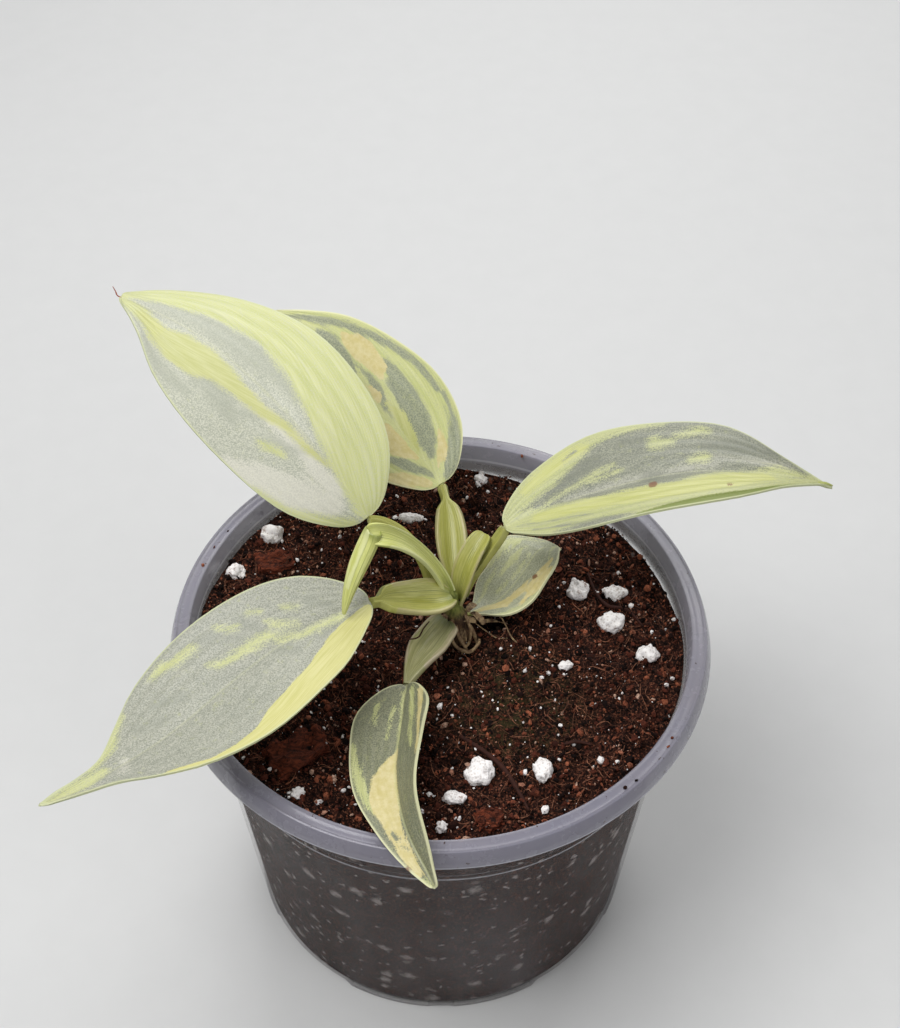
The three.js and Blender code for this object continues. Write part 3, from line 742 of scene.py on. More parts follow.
def strand_mesh(name, paths, radii, sides=3):
    """Thin closed strands along lists of points, in one mesh."""
    points, faces, tints = [], [], []
    start = 0
    for number, (path, radius) in enumerate(zip(paths, radii)):
        path = np.asarray(path, float)
        heading = np.gradient(path, axis=0)
        heading /= np.maximum(np.linalg.norm(heading, axis=1, keepdims=True), 1e-9)
        side = np.cross(heading, (0.12, 0.07, 1.0))
        side /= np.maximum(np.linalg.norm(side, axis=1, keepdims=True), 1e-9)
        upper = np.cross(side, heading)
        count = len(path)
        girth = radius * np.interp(np.arange(count), [0, (count - 1) / 2, count - 1], [0.7, 1, 0.45])
        for ring in range(count):
            for k in range(sides):
                angle = 2 * math.pi * k / sides
                offset = math.cos(angle) * side[ring] + math.sin(angle) * upper[ring]
                points.append(path[ring] + girth[ring] * offset)
                tints.append((number * TINT_STEP) % 1)
        for ring in range(count - 1):
            for k in range(sides):
                a, b = start + ring * sides + k, start + ring * sides + (k + 1) % sides
                faces.append((a, b, b + sides, a + sides))
        faces.append(tuple(range(start + sides - 1, start - 1, -1)))
        faces.append(tuple(range(start + (count - 1) * sides, start + count * sides)))
        start += count * sides
    piece = mesh_piece(name, points, faces)
    point_values(piece, "tint", tints)
    return piece


# %% Scattered fibres
FIBRE_TRIES = 1700
FIBRE_EDGE = 52
FIBRE_JOINTS = 6
rng = np.random.default_rng(23)
fibre_paths, fibre_radii = [], []
for _ in range(FIBRE_TRIES):
    x, y = rng.uniform(-FIBRE_EDGE, FIBRE_EDGE, 2)
    if math.hypot(x, y) > FIBRE_EDGE + 0.5:
        continue
    heading, length = rng.uniform(0, 2 * math.pi), rng.uniform(1.2, 6.0)
    turn, lift = rng.normal(0, 0.28), rng.uniform(0.3, 0.9)
    path = []
    for k in range(FIBRE_JOINTS):
        if math.hypot(x, y) > FIBRE_EDGE + 1.6:
            break
        rise = lift + (0.5 * rng.random() if k in (0, FIBRE_JOINTS - 1) else 0)
        path.append((x * MM, y * MM, on_soil(x * MM, y * MM) + rise * MM))
        x += math.cos(heading) * length / (FIBRE_JOINTS - 1)
        y += math.sin(heading) * length / (FIBRE_JOINTS - 1)
        heading += turn
    if len(path) > 2:
        fibre_paths.append(path)
        fibre_radii.append(rng.uniform(0.05, 0.12) * MM)
fibres = strand_mesh("soil_fibres", fibre_paths, fibre_radii)


def fibre_finish():
    material, tree, shader = new_finish("plant_fibre", 0.8, Specular_IOR_Level=0.2)
    tint = attribute(tree, "tint")
    base = mixed(tree, tint, colour(58, 30, 22), colour(158, 106, 80))
    shade = ranged(tree, noise_of(tree, object_place(tree), 1200), 0.4, 0.7)
    painted(tree, shader, mixed(tree, shade, base, colour(44, 24, 18)))
    return material


FIBRE_FINISH = fibre_finish()
finish_piece(fibres, [FIBRE_FINISH])

# %% [markdown]
# ## Perlite grains, bark and twigs
#
# Perlite is popped volcanic glass: round, white and full of pits. Each of the large grains starts
# as an icosphere at its own size and place, and three displace modifiers swell, dent and pit it.
# Bark chips start as divided boxes that are split and flaked along their length.

# %% Perlite grains
PERLITE_GRAINS = [
    (-40.2, 30.2, 6.0, 5.4, 4.6), (-47.4, 19, 4.8, 3.9, 3.4), (-7.4, 36.0, 6.4, 3.6, 2.6),
    (9.7, 49.3, 3.4, 3.2, 3.0), (31.5, 13.2, 5.0, 6.4, 4.2), (40.0, 13.0, 6.0, 4.4, 3.8),
    (38.6, 4.0, 6.6, 5.6, 4.6), (46.1, -4.6, 5.3, 4.4, 3.6), (27.7, -8.4, 3.6, 2.8, 2.4),
    (8.2, -36.6, 7.0, 6.4, 5.2), (3.0, -42.6, 4.8, 3.6, 3.0), (0.4, -49.2, 2.6, 2.8, 2.4),
    (21.6, -36.0, 4.6, 6.2, 4.0), (-29.2, -41.5, 2.8, 2.8, 2.4),
]
ROOM_TO_SWELL = 0.97
for number, (x, y, width, depth, tall) in enumerate(PERLITE_GRAINS, start=1):
    level = float(soil_height(x, y)) + 0.22 * tall
    deselect_all()
    place = (x * MM, y * MM, level * MM)
    bpy.ops.mesh.primitive_ico_sphere_add(subdivisions=4, radius=0.5 * MM, location=place)
    grain = named(f"perlite_grain_{number:02d}")
    bpy.ops.transform.resize(value=[size * ROOM_TO_SWELL for size in (width, depth, tall)])
    place_in_mesh(grain)
    displaced(grain, f"bulges_{number}", "CLOUDS", 0.45 * width, 0.5 * tall)
    displaced(grain, f"lobes_{number}", "VORONOI", 0.42 * width, -0.2 * tall, 0.3)
    displaced(grain, f"pits_{number}", "CLOUDS", 0.5, 0.5)
    apply_modifiers(grain)
    bpy.ops.object.shade_smooth()
    finish_piece(grain, [PERLITE_FINISH], [f"perlite_{number:02d}"])

# %% Bark chips
BARK_CHIPS = [
    (9.9, -47.6, 20, 5.6, 4.4, 2.6), (-30, -31, 35, 13, 8, 3.4),
    (-41.5, -23, 80, 8, 5, 2.8), (-38.6, 22, 10, 9, 6, 2.4),
]


def bark_finish():
    material, tree, shader = new_finish("bark", 0.88, Specular_IOR_Level=0.2)
    place = object_place(tree)
    grain = noise_of(tree, stretched(tree, place, (420, 900, 1500)), 1, 5, 0.7, 1.2)
    base = mixed(tree, ranged(tree, grain, 0.34, 0.68), colour(40, 18, 13), colour(126, 62, 40))
    shade = ranged(tree, noise_of(tree, place, 500, 4), 0.55, 0.72, 0, 0.75)
    painted(tree, shader, mixed(tree, shade, base, colour(30, 15, 12)), grain, 0.5, 0.9)
    return material


BARK_FINISH = bark_finish()
for number, (x, y, turn, length, width, tall) in enumerate(BARK_CHIPS, start=1):
    deselect_all()
    bpy.ops.mesh.primitive_cube_add(size=MM, location=(0, 0, 0))
    chip = named(f"bark_{number}")
    bpy.ops.transform.resize(value=(length, width, tall))
    place_in_mesh(chip)
    bpy.ops.object.mode_set(mode="EDIT")
    bpy.ops.mesh.select_all(action="SELECT")
    bpy.ops.mesh.bevel(offset=0.28 * tall * MM, segments=2)
    bpy.ops.mesh.subdivide(number_cuts=5)
    bpy.ops.mesh.subdivide(number_cuts=1)
    bpy.ops.object.mode_set(mode="OBJECT")
    chip.rotation_euler.z = math.radians(turn)
    chip.location = (x * MM, y * MM, (float(soil_height(x, y)) + 0.12 * tall) * MM)
    place_in_mesh(chip)
    displaced(chip, f"split_{number}", "CLOUDS", 0.3 * length, 1.3 * tall, 0.55)
    displaced(chip, f"flakes_{number}", "VORONOI", 1.5, -0.9, 0.4)
    displaced(chip, f"splinters_{number}", "CLOUDS", 0.6, 0.7)
    apply_modifiers(chip)
    bpy.ops.object.shade_smooth_by_angle(angle=math.radians(50))
    finish_piece(chip, [BARK_FINISH], [f"bark_chip_{number}"])

# %% Twigs
TWIGS = [
    (0.6, [(4.3, -27.1), (9.4, -31), (13.4, -35.4), (16.6, -42), (18.2, -46)]),
    (0.45, [(34.2, 19), (35.6, 13), (38, 9), (42.4, 7.9), (45.6, 3)]),
    (0.45, [(26.2, -29.8), (29, -29.2), (32, -30)]),
]


def spline(a, b, c, d, f):
    """A Catmull-Rom curve between b and c, at share f of the way."""
    return 0.5 * (2 * b + (c - a) * f + (2 * a - 5 * b + 4 * c - d) * f**2 + (3 * b - a - 3 * c + d) * f**3)


def smooth_path(points, count):
    """Places on a smooth curve through the points, evenly spaced between each two."""
    points = np.asarray(points, float)
    padded = np.vstack([2 * points[0] - points[1], points, 2 * points[-1] - points[-2]])
    path = []
    for t in np.linspace(0, len(points) - 1, count):
        i = min(int(t), len(points) - 2)
        path.append(spline(*padded[i:i + 4], t - i))
    return np.array(path)


def round_strands(name, routes, radii, sides, rings):
    """Strands with smooth shading along curves through the routes, all in millimetres."""
    paths = [smooth_path(route, rings) * MM for route in routes]
    piece = strand_mesh(name, paths, [radius * MM for radius in radii], sides)
    make_active(piece)
    bpy.ops.object.shade_smooth()
    return piece


TWIG_RINGS, TWIG_SIDES = 34, 8
for number, (radius, route) in enumerate(TWIGS, start=1):
    points = [(x, y, float(soil_height(x, y)) + radius + 0.35) for x, y in route]
    twig = round_strands(f"dry_twig_{number}", [points], [radius], TWIG_SIDES, TWIG_RINGS)
    rings = np.arange(TWIG_RINGS)
    knots = 1 + 0.16 * np.sin(rings * 1.9 + number) * np.cos(rings * 0.7)
    shape = vertex_places(twig).astype(float).reshape(TWIG_RINGS, TWIG_SIDES, 3)
    middle = shape.mean(axis=1, keepdims=True)
    shape = middle + (shape - middle) * knots[:, None, None]
    twig.data.vertices.foreach_set("co", shape.astype(np.float32).ravel())
    twig.data.update()
    finish_piece(twig, [FIBRE_FINISH], [f"twig_{number}"])

# %% [markdown]
# ## Stem and roots
#
# The stem is short, knobbly and brown where old sheaths have dried off it. It is spun from a
# section and lumped with a displace modifier. Tan aerial roots loop from its foot into the soil,
# and dry scraps of sheath stand off it like torn paper.

# %% Stem
STEM_X = 3.3
STEM_SECTION = [(0, 60), (1.6, 61), (3.0, 66), (3.2, 76), (2.8, 82), (2.75, 84), (3.05, 85.5), (3.1, 87),
                (2.7, 88.2), (2.95, 89.4), (2.5, 90.6), (2.6, 92), (2.7, 93), (2.4, 94.4), (1.7, 96),
                (1.4, 97.5), (1.4, 99.6), (1.1, 100.8), (0, 101.3)]
LEAN = 0.9
LEAN_START, LEAN_LENGTH = 94, 6
stem = spun(extruded_section("plant_stem", STEM_SECTION), 40)
stem.location.x = STEM_X * MM
place_in_mesh(stem)
for vertex in stem.data.vertices:
    vertex.co.x -= LEAN * MM * min(max((vertex.co.z / MM - LEAN_START) / LEAN_LENGTH, 0), 1)
rounded(stem, 2)
displaced(stem, "stem_knobs", "CLOUDS", 1.6, 0.55)
apply_modifiers(stem)
bpy.ops.object.shade_smooth()


def stem_finish():
    material, tree, shader = new_finish("stem_skin", 0.72)
    place = object_place(tree)
    streaks = noise_of(tree, stretched(tree, place, (1400, 1400, 220)), 1, 4, 0.7)
    dry = mixed(tree, ranged(tree, streaks, 0.35, 0.68), colour(54, 34, 22), colour(128, 98, 64))
    green = mixed(tree, ranged(tree, streaks, 0.3, 0.7), colour(92, 100, 38), colour(142, 148, 70))
    fresh = ranged(tree, height_of(tree, place), 93.5 * MM, 97 * MM)
    painted(tree, shader, mixed(tree, fresh, dry, green), streaks, 0.35, 0.9)
    return material


finish_piece(stem, [stem_finish()], ["stem"])

# %% Aerial roots, looped rootlets and buried roots
AERIAL_ROOTS = [
    [(5.6, -0.9, 92.4), (6.9, -1.5, 90.2), (7.8, -2.1, 87.4), (8.2, -2.3, 84.9)],
    [(3.5, -2.9, 93.2), (4.0, -3.9, 90.9), (5.3, -4.7, 88.1), (6.4, -4.9, 85.0)],
    [(0.6, 1.2, 91.2), (-1.2, 1.8, 89.4), (-2.9, 2.6, 87.2), (-3.6, 3.0, 85.0)],
]
AERIAL_RADIUS = 0.5
LOOPED_ROOTS = [
    [(2.6, -2.5, 94.6), (2.2, -4.4, 92.0), (3.6, -5.6, 88.8), (6.4, -6.0, 87.6), (8.4, -4.6, 88.6),
     (8.6, -2.6, 87.6), (8.2, -1.6, 84.8)],
    [(5.4, -1.6, 95.0), (6.6, -3.2, 92.2), (6.4, -4.2, 89.0), (5.0, -4.9, 86.6), (4.6, -5.2, 84.6)],
    [(13.6, 1.4, 90.4), (14.6, 0.6, 88.6), (16.0, -1.6, 86.9), (18.6, -3.6, 85.9), (20.0, -4.0, 84.8)],
    [(1.6, -2.6, 91.6), (-0.6, -3.4, 89.4), (-1.4, -5.6, 87.3), (-0.6, -8.0, 85.0)],
    [(7.6, 0.6, 89.6), (10.0, 0.2, 87.4), (12.6, -1.0, 86.2), (15.0, -0.4, 85.4), (17.4, 0.8, 84.6)],
]
LOOPED_RADII = [0.42, 0.36, 0.2, 0.24, 0.16]


def root_finish():
    material, tree, shader = new_finish("root_skin", 0.75)
    place = object_place(tree)
    mottle = noise_of(tree, place, 900, 4)
    base = mixed(tree, ranged(tree, mottle, 0.35, 0.68), colour(98, 72, 48), colour(168, 142, 104))
    painted(tree, shader, base, mottle, 0.15)
    return material


ROOT_FINISH = root_finish()
for number, route in enumerate(AERIAL_ROOTS, start=1):
    root = round_strands(f"root_{number}", [route], [AERIAL_RADIUS], sides=10, rings=24)
    finish_piece(root, [ROOT_FINISH], [f"aerial_root_{number}"])
loops = round_strands("looped_rootlets", LOOPED_ROOTS, LOOPED_RADII, sides=8, rings=30)
finish_piece(loops, [ROOT_FINISH])
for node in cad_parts.values():
    if node.name.startswith("buried_root"):
        node.data.materials.clear()
        node.data.materials.append(ROOT_FINISH)

# %% [markdown]
# ## Leaves
#
# A leaf blade is a thin sheet that is cut to an outline, folded along its midrib and laid along a
# curve. It is built in that order. Each row of a flat grid is scaled to the width of the leaf
# there, the grid is divided further, and the flat blank is then laid along the midrib's curve
# with the same twist and fold as in the construction model. The laying is a few lines of code,
# because a curve modifier chooses its own idea of up. Solidify gives the sheet its thickness.
#
# Rows run evenly in s, from base to tip, and are bunched on the midrib towards both ends.

# %% Laying a flat blank along a midrib
def between(values, position):
    """Values on a smooth curve through evenly spaced ones."""
    values = np.asarray(values, float)
    padded = np.concatenate([[2 * values[0] - values[1]], values, [2 * values[-1] - values[-2]]])
    t = np.clip(position, 0, 1) * (len(values) - 1)
    i = np.minimum(t.astype(int), len(values) - 2)
    return spline(padded[i], padded[i + 1], padded[i + 2], padded[i + 3], t - i)


def unit(vectors):
    return vectors / np.maximum(np.linalg.norm(vectors, axis=-1, keepdims=True), 1e-12)


def half_widths(shape, s):
    """How far the left and the right half reach in millimetres. Where no right is given, both are alike."""
    return between(shape["left"], s), between(shape.get("right", shape["left"]), s)


def mean_half_width(shape, s):
    return sum(half_widths(shape, s)) / 2


CREASE = 0.7
ROLL_GROWTH = 0.02
ROLL_FLATNESS = 0.75


def laid(s, sideways, height, shape):
    """Places in mm for stations s, distances to the right of the midrib and heights above the sheet."""
    p0, p1, p2, p3 = np.asarray(shape["midrib"], float)
    u = ((1 - np.cos(np.pi * np.clip(s, 0, 1))) / 2)[:, None]
    w = 1 - u
    centre = w**3 * p0 + 3 * w**2 * u * p1 + 3 * w * u**2 * p2 + u**3 * p3
    tangent = unit(3 * w**2 * (p1 - p0) + 6 * w * u * (p2 - p1) + 3 * u**2 * (p3 - p2))
    up = np.array([0, 0, 1.0])
    lift = unit(up - tangent * (tangent @ up)[:, None])
    side = np.cross(tangent, lift)
    roll = np.radians(shape["roll"][0] + (shape["roll"][1] - shape["roll"][0]) * u)
    side, lift = np.cos(roll) * side + np.sin(roll) * lift, np.cos(roll) * lift - np.sin(roll) * side
    if "rolled" in shape:
        radius = between(shape["left"], s)
        angle = sideways / radius * math.radians(shape["rolled"])
        swollen = radius * (1 + ROLL_GROWTH * angle) + height
        sunk = (ROLL_FLATNESS * swollen * np.cos(angle))[:, None] * lift
        return centre + (swollen * np.sin(angle))[:, None] * side - sunk
    fold = np.radians(shape["fold"] + shape.get("clasp", 0) * np.clip(1 - 3 * u, 0, 1) ** 2)
    reach = np.abs(sideways)[:, None]
    sign = np.sign(sideways)[:, None]
    rise = np.sin(fold) * (np.sqrt(reach**2 + CREASE**2) - CREASE)
    lean = np.sin(fold) * np.minimum(reach / CREASE, 1) * sign
    normal = unit(lift - lean * side)
    return centre + sign * reach * np.cos(fold) * side + rise * lift + height[:, None] * normal


# %% Cutting the blank
def flat_blank(name, shape, rows, cuts, columns):
    """A flat sheet with s along X from 0 to 1 and millimetres across along Y, the right side at -Y."""
    deselect_all()
    bpy.ops.mesh.primitive_grid_add(x_subdivisions=rows, y_subdivisions=columns, size=2, location=(0, 0, 0))
    piece = named(name)
    bpy.ops.object.mode_set(mode="EDIT")
    bpy.ops.mesh.select_all(action="SELECT")
    bpy.ops.transform.resize(value=(0.5, 1, 1), center_override=(0, 0, 0))
    bpy.ops.transform.translate(value=(0.5, 0, 0))
    stations = np.linspace(0, 1, rows + 1)
    for station, half_width in zip(stations, mean_half_width(shape, stations)):
        bpy.ops.mesh.select_all(action="DESELECT")
        bpy.ops.object.mode_set(mode="OBJECT")
        for vertex in piece.data.vertices:
            vertex.select = abs(vertex.co.x - station) < 0.2 / rows
        bpy.ops.object.mode_set(mode="EDIT")
        bpy.ops.transform.resize(value=(1, half_width, 1), center_override=(station, 0, 0))
    bpy.ops.mesh.select_all(action="SELECT")
    bpy.ops.mesh.subdivide(number_cuts=cuts)
    bpy.ops.object.mode_set(mode="OBJECT")
    return piece


# %% [markdown]
# The variegation is painted with a few brush strokes in the leaf's own coordinates. Each knot of a
# stroke says how far along it lies between base (0) and tip (1), where across the half (0 midrib,
# 1 margin, right side positive), and half the stroke's width in millimetres. The material later
# breaks the edges with noise that is stretched along the veins.

# %% Patch fields
SOFTNESS = 2.2


def midrib_length(shape):
    """The length of the line through the midrib's four control points, a little over the curve's own."""
    return np.linalg.norm(np.diff(np.asarray(shape["midrib"], float), axis=0), axis=1).sum()


def flat_place(shape, s, v):
    """Millimetres along and across the flattened blade."""
    along = (1 - np.cos(np.pi * np.asarray(s, float))) / 2 * midrib_length(shape)
    return np.stack([along, v * mean_half_width(shape, s)], axis=-1)


def patch_field(shape, s, v, patches):
    """How deep each place lies in the nearest patch, from 1 well inside to -1 well outside."""
    field = np.full(len(s), -1.0)
    here = flat_place(shape, s, v)
    for patch in patches:
        knots = np.asarray(patch, float)
        ends = flat_place(shape, knots[:, 0], knots[:, 1])
        for a, b, half_a, half_b in zip(ends, ends[1:], knots[:, 2], knots[1:, 2]):
            share = np.clip((here - a) @ (b - a) / max((b - a) @ (b - a), 1e-9), 0, 1)
            away = np.linalg.norm(here - a - share[:, None] * (b - a), axis=1)
            field = np.maximum(field, (half_a + (half_b - half_a) * share - away) / SOFTNESS)
    return np.clip(field, -1, 1)


BLADES = {
    "upper_left": {
        "midrib": [(-15.5, 7.1, 117), (-30.5, 18.5, 138.7), (-49.8, 44, 138.3), (-69.2, 46.4, 144.9)],
        "left": [1, 7.5, 14.2, 17.4, 18.2, 15.6, 9.8, 4.6, 0.4],
        "right": [1, 7.5, 14.2, 17.4, 18.2, 15.5, 9.8, 4.6, 0.4],
        "roll": (21, -14.6), "fold": 2, "slot": "silver_leaf", "pleats": 0.1,
        "grain": ((160, 163, 146), (202, 202, 184)), "pale_strength": 0.55,
        "lime": [
            [(0.89, 0.5, 1), (0.73, 0.6, 2.5), (0.61, 0.62, 3.2), (0.54, 0.65, 3.9), (0.45, 0.58, 4.9),
             (0.35, 0.5, 6.2), (0.24, 0.4, 5.8), (0.12, 0.35, 4)],
            [(0.32, -1, 0.7), (0.24, -1, 1), (0.15, -0.9, 1.3), (0.06, -0.75, 0.9)],
            [(0.92, -0.45, 1.7), (0.8, -0.45, 2.5), (0.72, -0.52, 2.1)],
            [(0.39, -0.52, 0.5), (0.36, -0.45, 0.7), (0.34, -0.4, 0.4)],
            [(0.08, 0.9, 3), (0.3, 1, 3.8), (0.5, 1, 3.8), (0.7, 1, 2.8), (0.95, 0.7, 2)],
        ],
        "bright": [
            [(0.8, -0.45, 1.3), (0.7, -0.52, 2.8), (0.64, -0.4, 4.6), (0.58, -0.32, 4.4),
             (0.54, -0.25, 2.9), (0.48, -0.22, 1.8), (0.43, -0.2, 1.2), (0.38, -0.12, 1),
             (0.32, -0.1, 0.7), (0.27, -0.02, 0.4)],
        ],
        "dark": [
            [(0.84, 0.38, 0.8), (0.73, 0.23, 1.5), (0.66, 0.25, 2.3), (0.58, 0.25, 2.8),
             (0.53, 0.28, 2.9), (0.48, 0.28, 2.4), (0.43, 0.23, 1.2), (0.41, 0.2, 0.5)],
            [(0.85, -0.78, 0.9), (0.79, -0.62, 0.9), (0.71, -0.52, 0.3)],
            [(0.73, -0.97, 1), (0.66, -0.88, 1.7), (0.59, -0.82, 1.6), (0.55, -0.75, 0.9)],
            [(0.56, -0.57, 1), (0.54, -0.45, 1.9), (0.48, -0.5, 1.9), (0.45, -0.55, 1.1)],
            [(0.38, -0.4, 0.6), (0.35, -0.32, 0.9), (0.32, -0.17, 0.5)],
            [(0.45, -0.4, 0.9), (0.42, -0.27, 0.7)],
        ],
        "pale": [
            [(0.39, -1, 1.7), (0.32, -0.82, 3.4), (0.24, -0.62, 3.8), (0.18, -0.45, 2.6)],
            [(0.36, -0.12, 1.3), (0.29, -0.2, 2), (0.21, -0.17, 2)],
            [(0.53, -0.25, 0.9), (0.47, -0.2, 1.2), (0.41, -0.2, 1.3), (0.35, -0.2, 0.8)],
        ],
    },
    "back": {
        "midrib": [(0.2, 24.7, 109.1), (-12.3, 38.8, 120.2), (-26.8, 50, 128.6), (-37.7, 55.7, 132.8)],
        "left": [1, 6.9, 12.6, 14.9, 13.4, 10.2, 5.2, 1.8, 0.4],
        "right": [1, 7, 12.8, 15.1, 13.5, 10.3, 5.3, 1.8, 0.4],
        "roll": (4.6, 16.4), "fold": 9, "slot": "blotched_leaf", "pleats": 0.1, "base": "lime",
        "grain": ((122, 128, 110), (164, 167, 136)),
        "bright": [[(0.4, 0.12, 0.6), (0.35, 0.12, 1.4), (0.29, 0.07, 1.2), (0.24, 0, 0.4)]],
        "dark": [
            [(0.83, 0.33, 0.4), (0.71, 0.62, 0.8), (0.64, 0.73, 1.1), (0.57, 0.8, 0.9),
             (0.49, 0.88, 0.9), (0.42, 0.88, 0.8), (0.35, 0.85, 0.6)],
            [(0.67, 0.3, 0.9), (0.62, 0.25, 1.9), (0.58, 0.2, 2), (0.54, 0.15, 1.2), (0.51, 0.1, 0.4)],
            [(0.53, 0.23, 0.4), (0.48, 0.2, 0.8), (0.43, 0.15, 0.6), (0.39, 0.07, 0.8),
             (0.35, 0.05, 0.5)],
            [(0.48, 0.6, 0.9), (0.43, 0.48, 2.2), (0.38, 0.4, 2.7), (0.32, 0.33, 2.7),
             (0.26, 0.25, 2.4), (0.21, 0.2, 1)],
            [(0.33, 0.9, 0.4), (0.26, 0.85, 0.8), (0.2, 0.8, 1.2), (0.12, 0.68, 1.5), (0.08, 0.4, 0.7)],
            [(0.27, -0.52, 0.8), (0.23, -0.42, 1.4), (0.18, -0.25, 0.9), (0.14, -0.07, 0.4)],
        ],
        "cream": [
            [(0.61, 0.55, 0.8), (0.58, 0.5, 2.1), (0.54, 0.48, 2.7), (0.48, 0.43, 1.7),
             (0.46, 0.35, 0.6)],
            [(0.35, -0.15, 1.1), (0.3, -0.25, 2.8), (0.27, -0.2, 1.7), (0.23, -0.12, 0.6)],
            [(0.21, -0.85, 1.5), (0.17, -0.7, 1.5), (0.1, -0.45, 0.8)],
            [(0.26, 0.55, 0.4), (0.21, 0.48, 1), (0.18, 0.38, 0.9), (0.15, 0.2, 0.3)],
            [(0.47, 0.07, 0.6), (0.43, 0.07, 1), (0.42, 0.03, 0.4)],
        ],
    },
    "right": {
        "midrib": [(14.1, 9.7, 111.3), (35.3, 16.9, 118.1), (58.9, 11.7, 133.1), (83.6, 12.9, 120.4)],
        "left": [1, 5.4, 11.4, 15.8, 15.2, 12.3, 5, 1.2, 0.4],
        "right": [1, 5.6, 12, 16.6, 16, 12.9, 5.2, 1.2, 0.4],
        "roll": (8.5, 7.7), "fold": 13.5, "slot": "silver_leaf", "pleats": 0.12,
        "grain": ((112, 115, 102), (156, 157, 138)), "lime_strength": 0.75, "pale_strength": 0.3,
        "lime": [
            [(0.07, -0.7, 1.2), (0.18, -0.65, 2.8), (0.26, -0.7, 3.5), (0.3, -0.82, 3.9),
             (0.34, -0.93, 3.5), (0.38, -0.95, 2.1), (0.42, -0.95, 1.3), (0.47, -0.95, 0.9),
             (0.51, -0.95, 0.5)],
            [(0.48, -0.6, 0.6), (0.49, -0.6, 1.9), (0.52, -0.6, 0.9)],
            [(0.53, -0.72, 0.6), (0.58, -0.82, 1), (0.59, -0.8, 0.5)],
            [(0.55, -0.22, 0.6), (0.58, -0.27, 1.3), (0.58, -0.22, 0.5)],
            [(0.23, -0.05, 0.4), (0.3, -0.2, 0.5), (0.36, -0.27, 0.5), (0.41, -0.35, 0.3)],
            [(0.35, -0.2, 0.3), (0.39, -0.22, 0.4), (0.42, -0.25, 0.2)],
            [(0.11, 0.05, 3.3), (0.24, 0.48, 5.7), (0.36, 0.5, 5.4), (0.46, 0.53, 4.9),
             (0.54, 0.53, 4.3), (0.59, 0.45, 5), (0.67, 0.4, 4.1), (0.74, 0.05, 2.4), (0.8, -0.2, 0.7)],
            [(0.1, 0.8, 3.5), (0.5, 0.85, 4), (0.9, 0.8, 2)],
            [(0.84, 0.2, 2), (0.92, 0.3, 2), (1, 0, 1.5)],
        ],
        "bright": [
            [(0.21, 0.23, 1.7), (0.36, 0.38, 2.8), (0.46, 0.43, 3.1), (0.49, 0.48, 3.1),
             (0.56, 0.48, 3.1), (0.62, 0.4, 3.4), (0.7, 0.28, 1.9)],
            [(0.2, -0.72, 1.1), (0.27, -0.78, 1.7), (0.33, -0.85, 1.6), (0.36, -0.82, 0.9)],
        ],
        "dark": [
            [(0.26, -0.2, 0.9), (0.3, -0.35, 1.8), (0.35, -0.47, 1.8), (0.38, -0.52, 1.2)],
            [(0.43, -0.7, 0.9), (0.47, -0.7, 0.9)],
            [(0.48, 0, 2.6), (0.49, -0.05, 0.9)],
            [(0.58, -0.47, 1), (0.64, -0.57, 1.9), (0.68, -0.62, 1.5), (0.73, -0.8, 0.9)],
        ],
        "islands": [
            [(0.13, 0.35, 0.1), (0.27, 0.56, 0.25), (0.36, 0.66, 0.15)],
            [(0.18, 0.74, 0.1), (0.32, 0.83, 0.35), (0.4, 0.85, 0.1)],
            [(0.31, -0.8, 0.3), (0.34, -0.85, 0.4)],
        ],
        "pale": [
            [(0.3, 0, 0.4), (0.42, -0.04, 0.9), (0.6, -0.12, 0.6)],
            [(0.6, -0.3, 0.3), (0.76, -0.4, 1)],
        ],
        "olive": [[(0.45, 1, 0.5), (0.65, 1, 1.8), (0.86, 1, 0.5)]],
        "scar": [
            [(0.48, 0.2, 1), (0.48, 0.25, 0.9)],
            [(0.62, 0.55, 0.6), (0.62, 0.6, 0.4)],
        ],
    },
    "lower_left": {
        "midrib": [(-14.6, -9.8, 109.2), (-41.8, -21.9, 111.1), (-45, -39.5, 102.8), (-76, -57.2, 106)],
        "left": [1, 3.4, 6, 9.1, 12, 13.9, 15.3, 16.3, 16.6, 15.8, 13.7, 9.4, 4.4, 2.4, 1.4, 0.6, 0.2],
        "right": [1, 3.4, 5.9, 9, 11.9, 13.8, 15.1, 16.1, 16.4, 15.6, 13.5, 9.3, 4.4, 2.4, 1.4, 0.6, 0.2],
        "roll": (13.5, -20.2), "fold": 7, "slot": "silver_leaf", "pleats": 0.1,
        "grain": ((136, 139, 125), (182, 181, 166)), "lime_strength": 0.85,
        "lime": [
            [(0.47, 0.3, 0.5), (0.42, 0.25, 0.9), (0.4, 0.25, 1.2), (0.36, 0.2, 1), (0.34, 0.07, 0.8),
             (0.29, -0.07, 0.6), (0.26, -0.17, 0.4)],
            [(0.48, 0.38, 0.4), (0.46, 0.3, 0.7), (0.42, 0.2, 0.5)],
            [(0.57, 0.85, 0.5), (0.54, 0.83, 1.2), (0.52, 0.75, 1), (0.48, 0.73, 0.9),
             (0.47, 0.68, 0.4)],
            [(0.34, 0.38, 0.5), (0.32, 0.25, 0.8), (0.29, 0.15, 0.5)],
            [(0.42, 0.73, 0.4), (0.41, 0.65, 0.5), (0.39, 0.58, 0.3)],
            [(0.3, 0.5, 0.3), (0.29, 0.45, 0.5), (0.27, 0.4, 0.2)],
            [(0.36, 0.68, 0.3), (0.34, 0.6, 0.4)],
            [(0.29, -0.05, 0.6), (0.24, -0.1, 0.8), (0.18, -0.15, 0.7)],
            [(0.94, 0.15, 0.7), (0.85, 0.18, 1.4), (0.8, 0.12, 1.5), (0.76, 0.23, 1)],
            [(0.66, 0.93, 0.4), (0.69, 0.95, 0.8), (0.72, 0.83, 1.1), (0.78, 0.85, 0.8)],
        ],
        "strip": [
